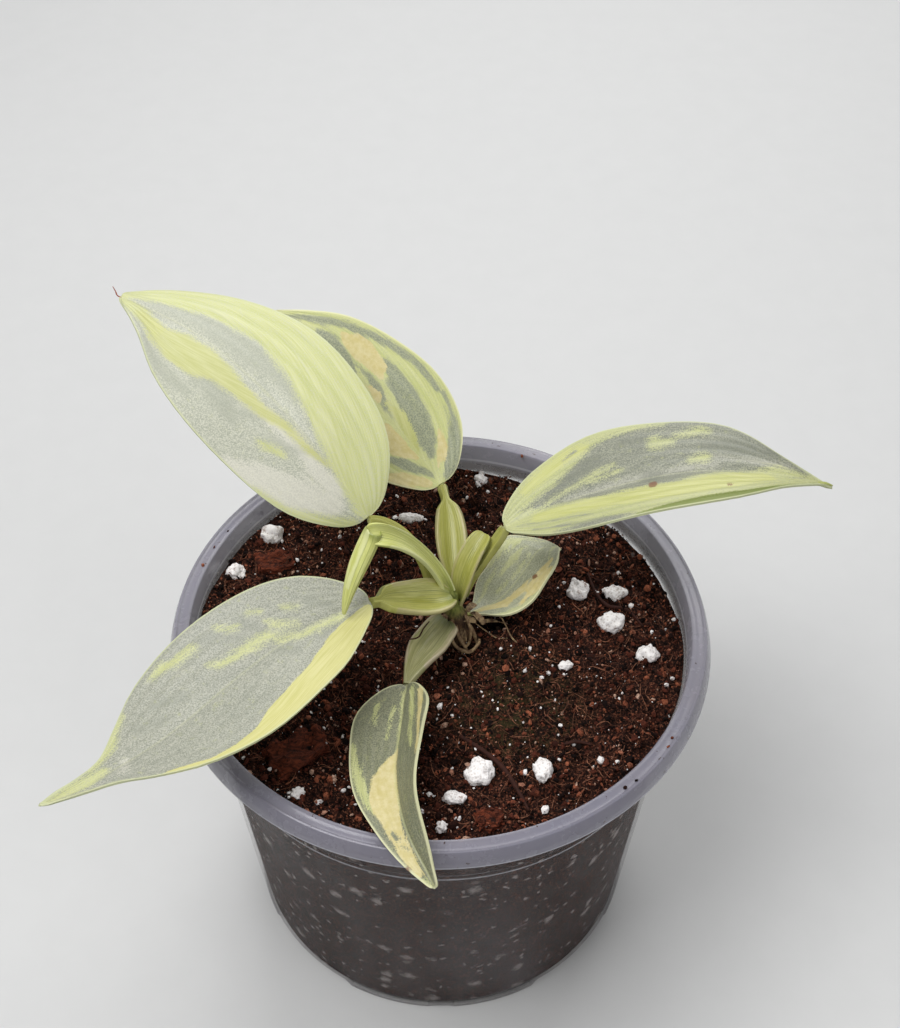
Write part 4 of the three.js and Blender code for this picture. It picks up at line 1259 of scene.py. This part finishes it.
            [(0.07, -0.35, 1), (0.14, -0.62, 2.5), (0.23, -0.68, 3.5), (0.32, -0.8, 3.4),
             (0.4, -0.85, 3.2), (0.47, -0.87, 2.6), (0.51, -0.92, 1.8), (0.56, -0.97, 1.2),
             (0.61, -1, 0.9), (0.68, -1, 0.4)],
        ],
        "dark": [
            [(0.38, 0.6, 1.1), (0.36, 0.3, 0.8)],
            [(0.24, 0.45, 0.9), (0.2, 0.25, 0.9)],
            [(0.42, 0.5, 0.6), (0.4, 0.38, 0.8)],
            [(0.36, -0.05, 1), (0.33, -0.22, 0.8)],
            [(0.47, 0.75, 0.7), (0.43, 0.65, 0.7)],
            [(0.2, -0.2, 0.7), (0.26, -0.27, 0.8)],
            [(0.6, 0.5, 0.6), (0.55, 0.28, 0.9)],
            [(0.66, 0.48, 0.7), (0.6, 0.25, 0.8)],
        ],
        "pale": [[(0.71, 0.18, 0.2), (0.72, -0.12, 0.3), (0.73, -0.42, 0.3)]],
    },
    "front": {
        "midrib": [(-7.1, -18.7, 92.5), (-9.7, -38.7, 89.5), (-11.4, -48.6, 96.1), (-0.7, -66.9, 92.4)],
        "left": [1, 5.8, 9.9, 10.1, 9, 6.6, 4.3, 2, 0.4],
        "right": [1, 5.8, 9.8, 10, 9, 6.5, 4.2, 1.9, 0.4],
        "roll": (-28.6, -39), "fold": 26, "slot": "blotched_leaf", "pleats": 0.06, "base": "green",
        "grain": ((102, 106, 84), (146, 146, 118)),
        "lime": [
            [(0.36, 0.95, 0.4), (0.42, 0.88, 0.8), (0.48, 0.8, 1.1), (0.56, 0.75, 0.7),
             (0.59, 0.73, 0.3)],
            [(0.12, -0.5, 0.7), (0.29, -0.47, 0.7), (0.42, -0.65, 0.5)],
            [(0.89, 1, 0.7), (0.96, 1, 0.5)],
            [(0.2, 0.65, 0.3), (0.28, 0.55, 0.4)],
            [(0.2, 0.23, 0.3), (0.29, 0.23, 0.4), (0.33, 0.25, 0.2)],
            [(0.11, 0.1, 0.3), (0.27, 0, 0.3), (0.38, -0.07, 0.4)],
        ],
        "dark": [
            [(0.1, 0, 0.6), (0.26, -0.15, 1.8), (0.4, -0.45, 1.9), (0.51, -0.57, 1.9),
             (0.6, -0.7, 2.2), (0.69, -0.62, 2.4), (0.77, -0.45, 2.1), (0.84, -0.3, 1.4),
             (0.91, 0.12, 0.5)],
            [(0.24, 0.53, 0.8), (0.3, 0.65, 1.6), (0.36, 0.65, 1.4)],
        ],
        "cream": [
            [(0.38, -0.05, 0.6), (0.42, 0.07, 1.5), (0.48, 0.23, 2.8), (0.55, 0.33, 3),
             (0.61, 0.38, 2.6), (0.67, 0.4, 1.8), (0.71, 0.43, 1.4), (0.78, 0.55, 1.3),
             (0.84, 0.68, 0.8)],
            [(0.15, -0.9, 1), (0.27, -0.75, 0.8), (0.39, -0.88, 0.6), (0.48, -0.95, 0.3)],
        ],
        "islands": [
            [(0.59, 0.88, 0.4), (0.62, 0.78, 0.6), (0.65, 0.75, 0.3)],
            [(0.67, 0.55, 0.4), (0.69, 0.45, 0.5)],
            [(0.72, 0.43, 0.3), (0.74, 0.33, 0.3)],
            [(0.68, 0.95, 0.2), (0.76, 1, 0.4), (0.82, 1, 0.3)],
        ],
        "scar": [[(0.8, 0.98, 0.4), (0.81, 0.98, 0.3)]],
    },
    "small_right": {
        "midrib": [(6.7, 4.4, 88.5), (21.4, 10.4, 88.1), (18, 14.5, 103), (27.1, 18.3, 94.7)],
        "left": [1, 2.9, 8.4, 9.5, 9.4, 9.2, 4.9, 1.4, 0.4],
        "right": [1, 2.9, 8.2, 9.4, 9.2, 9.1, 4.8, 1.4, 0.4],
        "roll": (18.4, 20.7), "fold": 10, "slot": "blotched_leaf", "pleats": 0.06, "base": "green",
        "grain": ((138, 142, 118), (186, 187, 158)), "lime_strength": 0.6,
        "lime": [
            [(0.34, -0.56, 0.1), (0.49, -0.46, 0.8), (0.64, -0.36, 0.1)],
            [(0.36, -0.96, 0.4), (0.55, -0.89, 1.5), (0.74, -0.82, 0.4)],
            [(0, 0.98, 0.6), (0.25, 0.99, 1.2), (0.5, 1, 0.4)],
            [(0.64, 0.6, 0.2), (0.8, 0.6, 1), (0.95, 0.6, 0.2)],
            [(0.5, -0.7, 0.1), (0.65, -0.65, 0.5), (0.8, -0.6, 0.1)],
            [(0.3, -0.2, 0.3), (0.45, -0.14, 0.5), (0.6, -0.1, 0.2)],
            [(0.16, -0.5, 0.2), (0.28, -0.62, 0.5), (0.4, -0.7, 0.2)],
        ],
        "dark": [
            [(0.2, -0.2, 0.3), (0.35, -0.15, 1.9), (0.5, -0.1, 0.3)],
            [(0.14, -0.8, 0.3), (0.24, -0.8, 1.9), (0.34, -0.8, 0.3)],
        ],
        "cream": [
            [(0.08, 0.3, 0.4), (0.36, 0.54, 2.8), (0.64, 0.78, 0.5)],
            [(0.4, 0.8, 0.3), (0.5, 0.85, 1.9), (0.6, 0.9, 0.4)],
            [(0.1, 0.06, 0.2), (0.2, 0.13, 1.1), (0.3, 0.2, 0.2)],
        ],
        "islands": [
            [(0.27, 0.66, 0.3), (0.34, 0.63, 1.4), (0.41, 0.6, 0.3)],
            [(0.1, 0.85, 0.3), (0.18, 0.82, 1.3), (0.26, 0.8, 0.3)],
            [(0.44, 0.5, 0.1), (0.47, 0.47, 0.3), (0.5, 0.44, 0.1)],
        ],
        "scar": [[(0.5, 0.52, 0.8), (0.51, 0.56, 0.6)]],
    },
}
PATCH_KINDS = ("lime", "bright", "dark", "pale", "cream", "strip", "olive", "islands", "scar")
patch_count = sum(len(shape.get(kind, [])) for shape in BLADES.values() for kind in PATCH_KINDS)
print("blades:", len(BLADES), "patches:", patch_count)

# %% [markdown]
# The blade's colours follow from those fields. Silver leaves owe their sheen to tiny air pockets
# under the skin, which show as a fine pale speckle over grey green. Where the tissue lacks
# green, it is lime or cream and has no speckle. The noise that breaks the edges reads a pair of
# vein coordinates that are stored on the mesh: one is constant along a vein, the other runs
# along it. On the left half the first is shifted, so that the noise isn't mirrored at the midrib.

# %% Blade finish
LIME = (colour(188, 192, 122), colour(208, 209, 154))
RIB_LIME = colour(172, 180, 100)
BRIGHT_LIME = (colour(184, 186, 108), colour(198, 198, 132))
STRIP = (colour(196, 192, 118), colour(208, 203, 140))
CREAM = (colour(199, 185, 122), colour(212, 200, 150))
PALE = colour(222, 218, 204)
OLIVE = colour(112, 124, 42)
SCAR = colour(120, 74, 44)
MARGIN = colour(224, 223, 178)
SILVER_MARGIN = colour(198, 202, 158)


def blade_finish(name, shape):
    """Grain first, then the patches from the widest to the smallest, then midrib, margin and scars."""
    material, tree, shader = new_finish(f"{name}_blade", 0.42, Coat_Weight=0.08, Coat_Roughness=0.35)
    place = object_place(tree)
    veins = attribute(tree, "veins", "Vector")
    streaks = noise_of(tree, stretched(tree, veins, (0.17, 0.04, 1)), 1, 4, 0.62, 0.3)
    fine_streaks = noise_of(tree, stretched(tree, veins, (0.5, 0.08, 1)), 1, 3, 0.6)
    ragged = noise_of(tree, stretched(tree, veins, (0.12, 0.1, 1)), 1, 6, 0.7, 0.6)
    speckle = noise_of(tree, place, 3400, 2, 0.6)
    mottle = noise_of(tree, place, 620, 4, 0.7)
    silvered = shape.get("base", "silver") == "silver"

    def patch(kind, rag, edge, dither=0.9, strength=1):
        shift = calc(tree, "MULTIPLY", calc(tree, "SUBTRACT", ragged, 0.5), rag * 2)
        grit = calc(tree, "MULTIPLY", calc(tree, "SUBTRACT", speckle, 0.5), dither)
        field = calc(tree, "ADD", attribute(tree, kind), calc(tree, "ADD", shift, grit))
        return ranged(tree, field, -edge, edge, 0, strength)

    dark_grain, pale_grain = (colour(*grain) for grain in shape["grain"])
    grainy = mixed(tree, ranged(tree, speckle, 0.34, 0.66), dark_grain, pale_grain)
    grainy = mixed(tree, ranged(tree, streaks, 0.5, 0.72, 0, 0.35), grainy, dark_grain)
    grainy = mixed(tree, ranged(tree, fine_streaks, 0.54, 0.7, 0, 0.45), grainy, dark_grain)
    grainy = mixed(tree, ranged(tree, ragged, 0.52, 0.7, 0, 0.45), grainy, pale_grain)
    grainy = mixed(tree, ranged(tree, mottle, 0.56, 0.76, 0, 0.35), grainy, LIME[0])
    lime = mixed(tree, ranged(tree, fine_streaks, 0.26, 0.74), LIME[0], LIME[1])
    vein_pale = pale_grain if silvered else BRIGHT_LIME[1]
    lime = mixed(tree, ranged(tree, streaks, 0.5, 0.68, 0, 0.3), lime, vein_pale)
    lime = mixed(tree, attribute(tree, "ribs"), lime, RIB_LIME)
    lime = mixed(tree, ranged(tree, speckle, 0.5, 0.36, 0, 0.35), lime, pale_grain)
    bright = mixed(tree, ranged(tree, fine_streaks, 0.36, 0.64), BRIGHT_LIME[0], BRIGHT_LIME[1])
    bright = mixed(tree, ranged(tree, speckle, 0.5, 0.36, 0, 0.25), bright, LIME[1])
    strip = mixed(tree, ranged(tree, fine_streaks, 0.36, 0.64), STRIP[0], STRIP[1])
    cream = mixed(tree, ranged(tree, mottle, 0.3, 0.7), CREAM[0], CREAM[1])

    base = grainy if shape.get("base") != "lime" else lime
    base = mixed(tree, patch("pale", 1.0, 0.6, 1.2, shape.get("pale_strength", 0.6)), base, PALE)
    if silvered:
        base = mixed(tree, patch("dark", 0.9, 0.55, 1.2, 0.5), base, dark_grain)
        base = mixed(tree, patch("lime", 0.8, 0.45, 1.4, shape.get("lime_strength", 0.95)), base, lime)
        base = mixed(tree, patch("bright", 0.6, 0.4, 1.2, 0.85), base, bright)
    else:
        base = mixed(tree, patch("dark", 0.9, 0.14, 0.9, 0.95), base, grainy)
        base = mixed(tree, patch("lime", 0.8, 0.2, 0.9, shape.get("lime_strength", 0.85)), base, lime)
        base = mixed(tree, patch("cream", 0.6, 0.09, 0.4), base, cream)
        base = mixed(tree, patch("bright", 0.6, 0.14), base, bright)
    base = mixed(tree, patch("strip", 0.25, 0.06, 0.2), base, strip)
    base = mixed(tree, patch("islands", 0.8, 0.14), base, grainy)
    base = mixed(tree, patch("olive", 0.3, 0.15), base, OLIVE)
    rib = ranged(tree, attribute(tree, "midrib"), 0.3, 1.0, 0, 0.15 if silvered else 0.4)
    base = mixed(tree, rib, base, LIME[1])
    edge = ranged(tree, attribute(tree, "margin"), 0.35, 0.9, 0, 0.85)
    base = mixed(tree, edge, base, SILVER_MARGIN if silvered else MARGIN)
    base = mixed(tree, patch("scar", 0.2, 0.1, 0.5, 0.85), base, SCAR)
    grit = calc(tree, "MULTIPLY", speckle, 0.2)
    skin = calc(tree, "ADD", calc(tree, "MULTIPLY", fine_streaks, 0.6), grit)
    painted(tree, shader, base, skin, 0.16, 0.6)
    tree.links.new(ranged(tree, speckle, 0.3, 0.7, 0.36, 0.5), shader.inputs["Roughness"])
    return material


def underside_finish():
    material, tree, shader = new_finish("blade_underside", 0.5)
    veins = attribute(tree, "veins", "Vector")
    streaks = noise_of(tree, stretched(tree, veins, (1.4, 0.12, 1)), 1, 4)
    base = mixed(tree, ranged(tree, streaks, 0.34, 0.68), colour(140, 148, 76), colour(178, 182, 116))
    base = mixed(tree, ranged(tree, attribute(tree, "margin"), 0.4, 0.9, 0, 0.7), base, MARGIN)
    painted(tree, shader, base, streaks, 0.15, 0.6)
    return material


UNDERSIDE = underside_finish()

# %% Values on a sheet
VEIN_SWEEP = 0.8
VEIN_LIMIT = 1.3
LEFT_SHIFT = 37.0
MARGIN_WIDTH = 0.9
MIDRIB_WIDTH = 0.45


def sheet_values(piece, shape, relief):
    """Lays a flat blank, and stores its own coordinates, vein coordinates and edge masks on it."""
    flat = vertex_places(piece)
    s, sideways = flat[:, 0].astype(float), -flat[:, 1].astype(float)
    left, right = half_widths(shape, s)
    half = np.where(sideways > 0, right, left)
    v = np.clip(sideways / np.maximum(mean_half_width(shape, s), 0.05), -1, 1)
    sideways = v * half
    length = midrib_length(shape)
    along = (1 - np.cos(np.pi * s)) / 2
    places = laid(s, sideways, relief(s, v, sideways), shape)
    piece.data.vertices.foreach_set("co", (places * MM).astype(np.float32).ravel())
    sweep = along + VEIN_SWEEP * np.log(VEIN_LIMIT - np.abs(v))
    across_veins = sweep * length + np.where(v < 0, LEFT_SHIFT, 0.0)
    veins = np.stack([across_veins, along * length, np.zeros(len(s))], axis=1)
    point_values(piece, "veins", veins, "FLOAT_VECTOR", "vector")
    point_values(piece, "margin", np.clip(1 - (half - np.abs(sideways)) / MARGIN_WIDTH, 0, 1))
    point_values(piece, "midrib", np.exp(-(sideways / MIDRIB_WIDTH) ** 2))
    layer = piece.data.uv_layers.new(name="leaf")
    uv = np.stack([s, (v + 1) / 2], axis=1)
    corner_points = np.zeros(len(piece.data.loops), np.int32)
    piece.data.loops.foreach_get("vertex_index", corner_points)
    layer.data.foreach_set("uv", uv[corner_points].astype(np.float32).ravel())
    piece.data.update()
    return s, v, along


# %% Building the blades
BLADE_THICKNESS = 0.5
ROWS, CUTS, COLUMNS = 30, 3, 12
RIB_COUNT = 5.5


def blade_relief(pleats, seed):
    def relief(s, v, sideways):
        groove = -0.3 * np.exp(-(sideways / 0.8) ** 2)
        ribs = pleats * np.cos(2 * math.pi * np.abs(v) * RIB_COUNT)
        ribs = ribs * np.clip(np.abs(v) * 3, 0, 1) * np.sin(math.pi * s)
        ripple = 0.25 * np.sin(11 * s + seed + 2 * v) * v**2 + 0.12 * np.sin(23 * s - 3 * v + seed)
        return (groove + ribs + ripple) * np.clip(np.minimum(s, 1 - s) * 12, 0, 1)
    return relief


for number, (name, shape) in enumerate(BLADES.items()):
    blade = flat_blank(f"blade_{name}", shape, ROWS, CUTS, COLUMNS)
    s, v, along = sheet_values(blade, shape, blade_relief(shape["pleats"], number))
    ribs = 0.5 - 0.5 * np.cos(2 * math.pi * np.abs(v) * RIB_COUNT)
    ribs = ribs**2 * np.clip(shape["pleats"] * 4, 0, 1) * np.clip(np.abs(v) * 2, 0, 1)
    point_values(blade, "ribs", ribs)
    for kind in PATCH_KINDS:
        point_values(blade, kind, patch_field(shape, s, v, shape.get(kind, [])))
    thickened(blade, BLADE_THICKNESS).material_offset = 1
    apply_modifiers(blade)
    bpy.ops.object.shade_smooth_by_angle(angle=math.radians(60))
    finish_piece(blade, [blade_finish(name, shape), UNDERSIDE], [f"leaf_{name}"])

# %% [markdown]
# ## Stalks and sheaths
#
# Each stalk is a gutter at its foot, wide enough to clasp the stem, and closes into a round
# petiole below its blade. It is cut and laid like a blade, only folded harder. Solidify takes its
# thickness from a vertex group that changes from the foot to the blade, and a subdivision surface
# rounds the edges. Dark green veins run lengthwise, and the sheath's margins are dry and pale.

# %% Stalk shapes
STALKS = {
    "upper_left": {
        "midrib": [(-0.6, 1.4, 95.5), (-3, 6, 107), (-8.5, 9, 114), (-15.1, 6.8, 116.5)],
        "left": [1.6, 2.2, 2, 1.7, 1.5, 1.3, 1.2, 1.1, 1],
        "roll": (0, 0), "fold": 35, "thickness": (1, 1.8), "rim": 0,
    },
    "back": {
        "midrib": [(3.4, 3.9, 98.3), (2.4, 9.5, 101.6), (2.7, 17.4, 105.8), (0.4, 24.3, 108.9)],
        "left": [1.6, 1.5, 1.5, 1.8, 2.3, 3, 3.6, 3.9, 4, 3.8, 3.4, 2.7, 1.1, 1, 1.1, 1.1, 1],
        "roll": (0, 0), "fold": 30, "thickness": (0.6, 1.8),
    },
    "right": {
        "midrib": [(5.4, 2.2, 97.6), (6.9, 3.6, 104.2), (11, 6.8, 105.8), (13.9, 9.55, 111)],
        "left": [1.2, 1.3, 1.4, 1.5, 1.5, 1.45, 1.4, 1.3, 1.1],
        "roll": (12, 0), "fold": 30, "thickness": (1.2, 1.8), "rim": 0, "node": "petiole_right",
    },
    "right_flap": {
        "midrib": [(4.5, 1.3, 97.2), (4.8, 2.4, 103.6), (7.2, 5.8, 107.2), (9.9, 9.4, 109.3)],
        "left": [1.4, 2, 2.7, 3.2, 3.4, 3.3, 3, 2.4, 1],
        "right": [3.2, 3.1, 3, 3, 3, 2.9, 2.7, 2.2, 1],
        "roll": (12, 4), "fold": 30, "clasp": 38, "thickness": (0.6, 0.5), "node": "",
    },
    "lower_left": {
        "midrib": [(2.4, -2.9, 102.6), (-3.2, -6.2, 104), (-8.6, -4.8, 105), (-14.4, -9.7, 109.1)],
        "left": [2.2, 2.6, 3.2, 4, 4.6, 5, 5.1, 5, 4.7, 4.4, 4.1, 3.7, 3.1, 1.2, 1.15, 1.1, 1.1],
        "roll": (6, 25), "fold": 30, "thickness": (0.6, 1.8),
    },
    "front": {
        "midrib": [(1.2, -2.5, 94.6), (-2.2, -6.2, 92.4), (-5.9, -13.4, 94.2), (-7.1, -18.5, 92.5)],
        "left": [2.2, 5.3, 6.1, 6.4, 6.5, 4.6, 2.8, 1.6, 1.2],
        "right": [1.8, 2.9, 3.4, 3.6, 3.7, 2.6, 1.5, 0.9, 0.8],
        "roll": (-1, -5), "fold": 30, "thickness": (0.6, 1.4),
    },
    "small_right": {
        "midrib": [(4.5, 4.3, 86.9), (5, 4.3, 87.7), (5.6, 4.1, 88.3), (6.6, 4.4, 88.5)],
        "left": [1.2, 1.2, 1.2, 1.1, 1.1, 1.1, 1, 1, 1],
        "roll": (0, 0), "fold": 10, "thickness": (1.2, 1.2), "rim": 0, "rows": 6,
    },
    "new_leaf": {
        "midrib": [(2, 0.3, 100.7), (-2.7, 3.9, 110.8), (-10.1, -3.4, 125.3), (-14.6, -3.4, 124.1)],
        "left": [2.4, 3.3, 3.5, 3.9, 4.1, 3.9, 3.7, 3.0, 1.3],
        "right": [1.7, 1.8, 1.9, 2, 2.1, 2, 2, 1.9, 1.2],
        "roll": (12, 44), "fold": 30, "clasp": 20, "thickness": (0.9, 0.7),
    },
}
print("stalks:", len(STALKS))

# %% Sheath finishes
def sheath_finish(name, pale, green, dark, dry):
    material, tree, shader = new_finish(name, 0.34, Coat_Weight=0.2, Coat_Roughness=0.25)
    veins = attribute(tree, "veins", "Vector")
    across = attribute(tree, "across")
    lines = noise_of(tree, stretched(tree, veins, (0, 2.1, 1)), 1, 2, 0.5)
    wander = noise_of(tree, stretched(tree, veins, (0.12, 0.9, 1)), 1, 4, 0.6)
    base = mixed(tree, ranged(tree, wander, 0.3, 0.7), green, pale)
    stripes = calc(tree, "MULTIPLY", ranged(tree, lines, 0.52, 0.62), ranged(tree, wander, 0.3, 0.6))
    base = mixed(tree, calc(tree, "MULTIPLY", stripes, 0.7), base, dark)
    # Painted shade: darker at the foot of each stalk, where it clasps the stem, and a little just below the
    # blade.
    base = mixed(tree, ranged(tree, attribute(tree, "shaded_ends"), 0.1, 0.9, 0, 0.7), base, dark)
    rough_edge = calc(tree, "ADD", across, calc(tree, "MULTIPLY", calc(tree, "SUBTRACT", wander, 0.5), 0.5))
    edge = ranged(tree, rough_edge, 0.76, 0.92)
    base = mixed(tree, calc(tree, "MULTIPLY", edge, 0.7), base, dry)
    ridges = calc(tree, "ADD", calc(tree, "MULTIPLY", lines, 0.7), wander)
    painted(tree, shader, base, ridges, 0.22, 0.6)
    return material


SHEATH_FINISH = sheath_finish("sheath_skin", pale=colour(178, 176, 98), green=colour(152, 152, 68),
                              dark=colour(96, 106, 38), dry=colour(170, 160, 116))
OLD_SHEATH_FINISH = sheath_finish("old_sheath_skin", pale=colour(164, 160, 116), green=colour(134, 134, 84),
                                  dark=colour(92, 98, 58), dry=colour(168, 152, 128))
NEW_FINISH = sheath_finish("new_leaf_skin", pale=colour(214, 216, 138), green=colour(190, 194, 106),
                           dark=colour(118, 130, 50), dry=colour(216, 218, 160))


# %% Building the stalks
def gutter(name, shape, rows=16, cuts=3, columns=6):
    piece = flat_blank(name, shape, rows, cuts, columns)
    s, v, along = sheet_values(piece, shape, lambda s, v, sideways: 0.1 * np.cos(9 * v) * (1 - s))
    point_values(piece, "across", np.abs(v) * np.clip((0.88 - along) * 8, 0, 1) * shape.get("rim", 1))
    veins = np.stack([along * 30, v * 6 + 3 * len(name), np.zeros(len(v))], axis=1)
    piece.data.attributes["veins"].data.foreach_set("vector", veins.astype(np.float32).ravel())
    # Painted shade, strong at the foot and weak just below the blade.
    shaded_ends = np.clip(1 - along * 5, 0, 1) * 0.9 + np.clip((along - 0.86) * 5, 0, 1) * 0.25
    point_values(piece, "shaded_ends", shaded_ends)
    group = piece.vertex_groups.new(name="thickness")
    low, high = shape["thickness"]
    thickest = max(low, high)
    for index, share in enumerate((low + (high - low) * along) / thickest):
        group.add([index], float(share), "REPLACE")
    thickened(piece, thickest).vertex_group = "thickness"
    rounded(piece, 1)
    apply_modifiers(piece)
    bpy.ops.object.shade_smooth()
    return piece


for name, shape in STALKS.items():
    fresh = name == "new_leaf"
    stalk = gutter(f"stalk_{name}", shape, rows=shape.get("rows", 16))
    node = shape.get("node", "new_leaf_petiole" if fresh else f"petiole_{name}")
    skin = NEW_FINISH if fresh else OLD_SHEATH_FINISH if name == "front" else SHEATH_FINISH
    finish_piece(stalk, [skin], [node] if node else [])

# %% [markdown]
# The new leaf hangs from the crook of its petiole, still rolled into a pointed spill. One margin
# overlaps the other, and the opening at its top is a dark green hollow, made darker with painted shade.

# %% The rolled new leaf
NEW_BLADE = {
    "midrib": [(-13.4, -3.6, 124.5), (-15.0, -4.9, 120.4), (-18.2, -10.6, 118.5), (-19.7, -14.7, 111.4)],
    "left": [1.8, 2.05, 2.15, 2.15, 2, 1.55, 1, 0.5, 0.15],
    "roll": (-13, -18), "fold": 0, "rolled": 205, "thickness": (0.4, 0.3),
}
rolled = gutter("rolled_leaf", NEW_BLADE, rows=12, cuts=3, columns=10)
finish_piece(rolled, [NEW_FINISH], ["new_leaf_blade"])

# %% [markdown]
# ## Small marks of age
#
# The largest leaf ends in a dry brown hair, the right leaf in a pale thread, and a brown tendril
# of dead sheath curls over the front stalk. Scraps of dry sheath stand at the stem's foot. Each
# of them is a small piece of its own. The few crumbs on the rim are one piece.

# %% Hair, thread and tendril
HAIR_FINISH = new_finish("dry_hair", 0.6, Base_Color=colour(152, 84, 62))[0]
TIP_HAIR = [(-69.0, 46.3, 144.8), (-69.9, 46.6, 145.2), (-70.3, 47.2, 145.9), (-70.8, 47.6, 146.9)]
DRY_TENDRIL = [(-2.4, -4.6, 96.4), (-3.6, -7.2, 97.2), (-4.6, -9.3, 97.0), (-6.4, -9.6, 96.6),
               (-7.4, -9.0, 95.8)]
TIP_THREAD = [(80.6, 12.9, 121.7), (82.2, 12.9, 121.4), (83.7, 12.8, 120.9)]
ENDINGS = [
    ("tip_hair", TIP_HAIR, 0.16, 6, 22, "twig", HAIR_FINISH),
    ("dry_tendril", DRY_TENDRIL, 0.2, 6, 22, "twig", FIBRE_FINISH),
    ("tip_thread", TIP_THREAD, 0.42, 8, 14, "silver_leaf", UNDERSIDE),
]
for name, route, radius, sides, rings, slot, finish in ENDINGS:
    strand = round_strands(name, [route], [radius], sides, rings)
    finish_piece(strand, [finish])

# %% Dry scraps at the stem's foot
SCRAPS = [
    ((6.0, -1.0, 92.6), 20, 4.4, 1.1), ((8.2, 0.8, 91.6), -35, 4.0, 0.9),
    ((2.2, -3.2, 92.8), 200, 3.4, 0.9), ((7.0, 1.8, 94.0), 60, 4.4, 1.0),
    ((5.0, -3.2, 90.6), 290, 3.2, 0.8), ((11.6, 2.4, 88.0), 15, 6.0, 0.9),
    ((0.8, -2.2, 94.4), 240, 3.0, 0.8),
]


def scrap_finish():
    material, tree, shader = new_finish("dry_scrap", 0.7)
    streaks = noise_of(tree, object_place(tree), 1100, 4)
    base = mixed(tree, ranged(tree, streaks, 0.35, 0.68), colour(84, 60, 38), colour(168, 142, 104))
    painted(tree, shader, base, streaks, 0.2)
    return material


SCRAP_FINISH = scrap_finish()
for number, (place, turn, length, width) in enumerate(SCRAPS, start=1):
    angle = math.radians(turn)
    ahead = np.array([math.cos(angle), math.sin(angle), 0])
    place = np.array(place)
    start, end = place - 0.45 * length * ahead, place + 0.45 * length * ahead - (0, 0, 1.6)
    step = 0.3 * length * ahead
    shape = {
        "midrib": [start, start + step + (0, 0, 0.9), end - step + (0, 0, 1.2), end],
        "left": [0.3, 0.8 * width, width, 0.9 * width, 0.2],
        "right": [0.3, 0.5 * width, 0.8 * width, 0.5 * width, 0.2],
        "roll": (20 * math.sin(number), 60 * math.cos(2 * number)),
        "fold": 24, "thickness": (0.16, 0.16),
    }
    scrap = gutter(f"scrap_{number}", shape, rows=6, cuts=2, columns=3)
    finish_piece(scrap, [SCRAP_FINISH])

# %% Crumbs on the rim
RIM_CRUMBS = [(-49.6, 26.9), (-52.3, 21.9), (-54.3, 16.4), (19.7, 51.6), (48.4, -31.2), (47.4, -33.4),
              (37.7, -43.4), (40.1, -41.7)]
rng = np.random.default_rng(3)
rim_places = [(x * MM, y * MM, (POT_HEIGHT - 0.05) * MM) for x, y in RIM_CRUMBS]
rim_crumbs = scattered("rim_crumbs", rim_places, rng.uniform(0.7, 1.3, len(rim_places)) * MM, rng)
finish_piece(rim_crumbs, [CRUMB_FINISH])

# %% [markdown]
# ## Size
#
# The boxes of the construction model and of the finished model are both written out so that they
# can be compared.

# %% Print the boxes and the triangle count
visual_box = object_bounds()
boxes = {"cad": [list(corner) for corner in cad_box], "visual": [list(corner) for corner in visual_box]}
for name, corners in boxes.items():
    print(name, [[round(c / MM, 1) for c in corner] for corner in corners])
triangles = sum(len(p.vertices) - 2 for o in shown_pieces() for p in o.data.polygons)
print("triangles in all:", triangles)
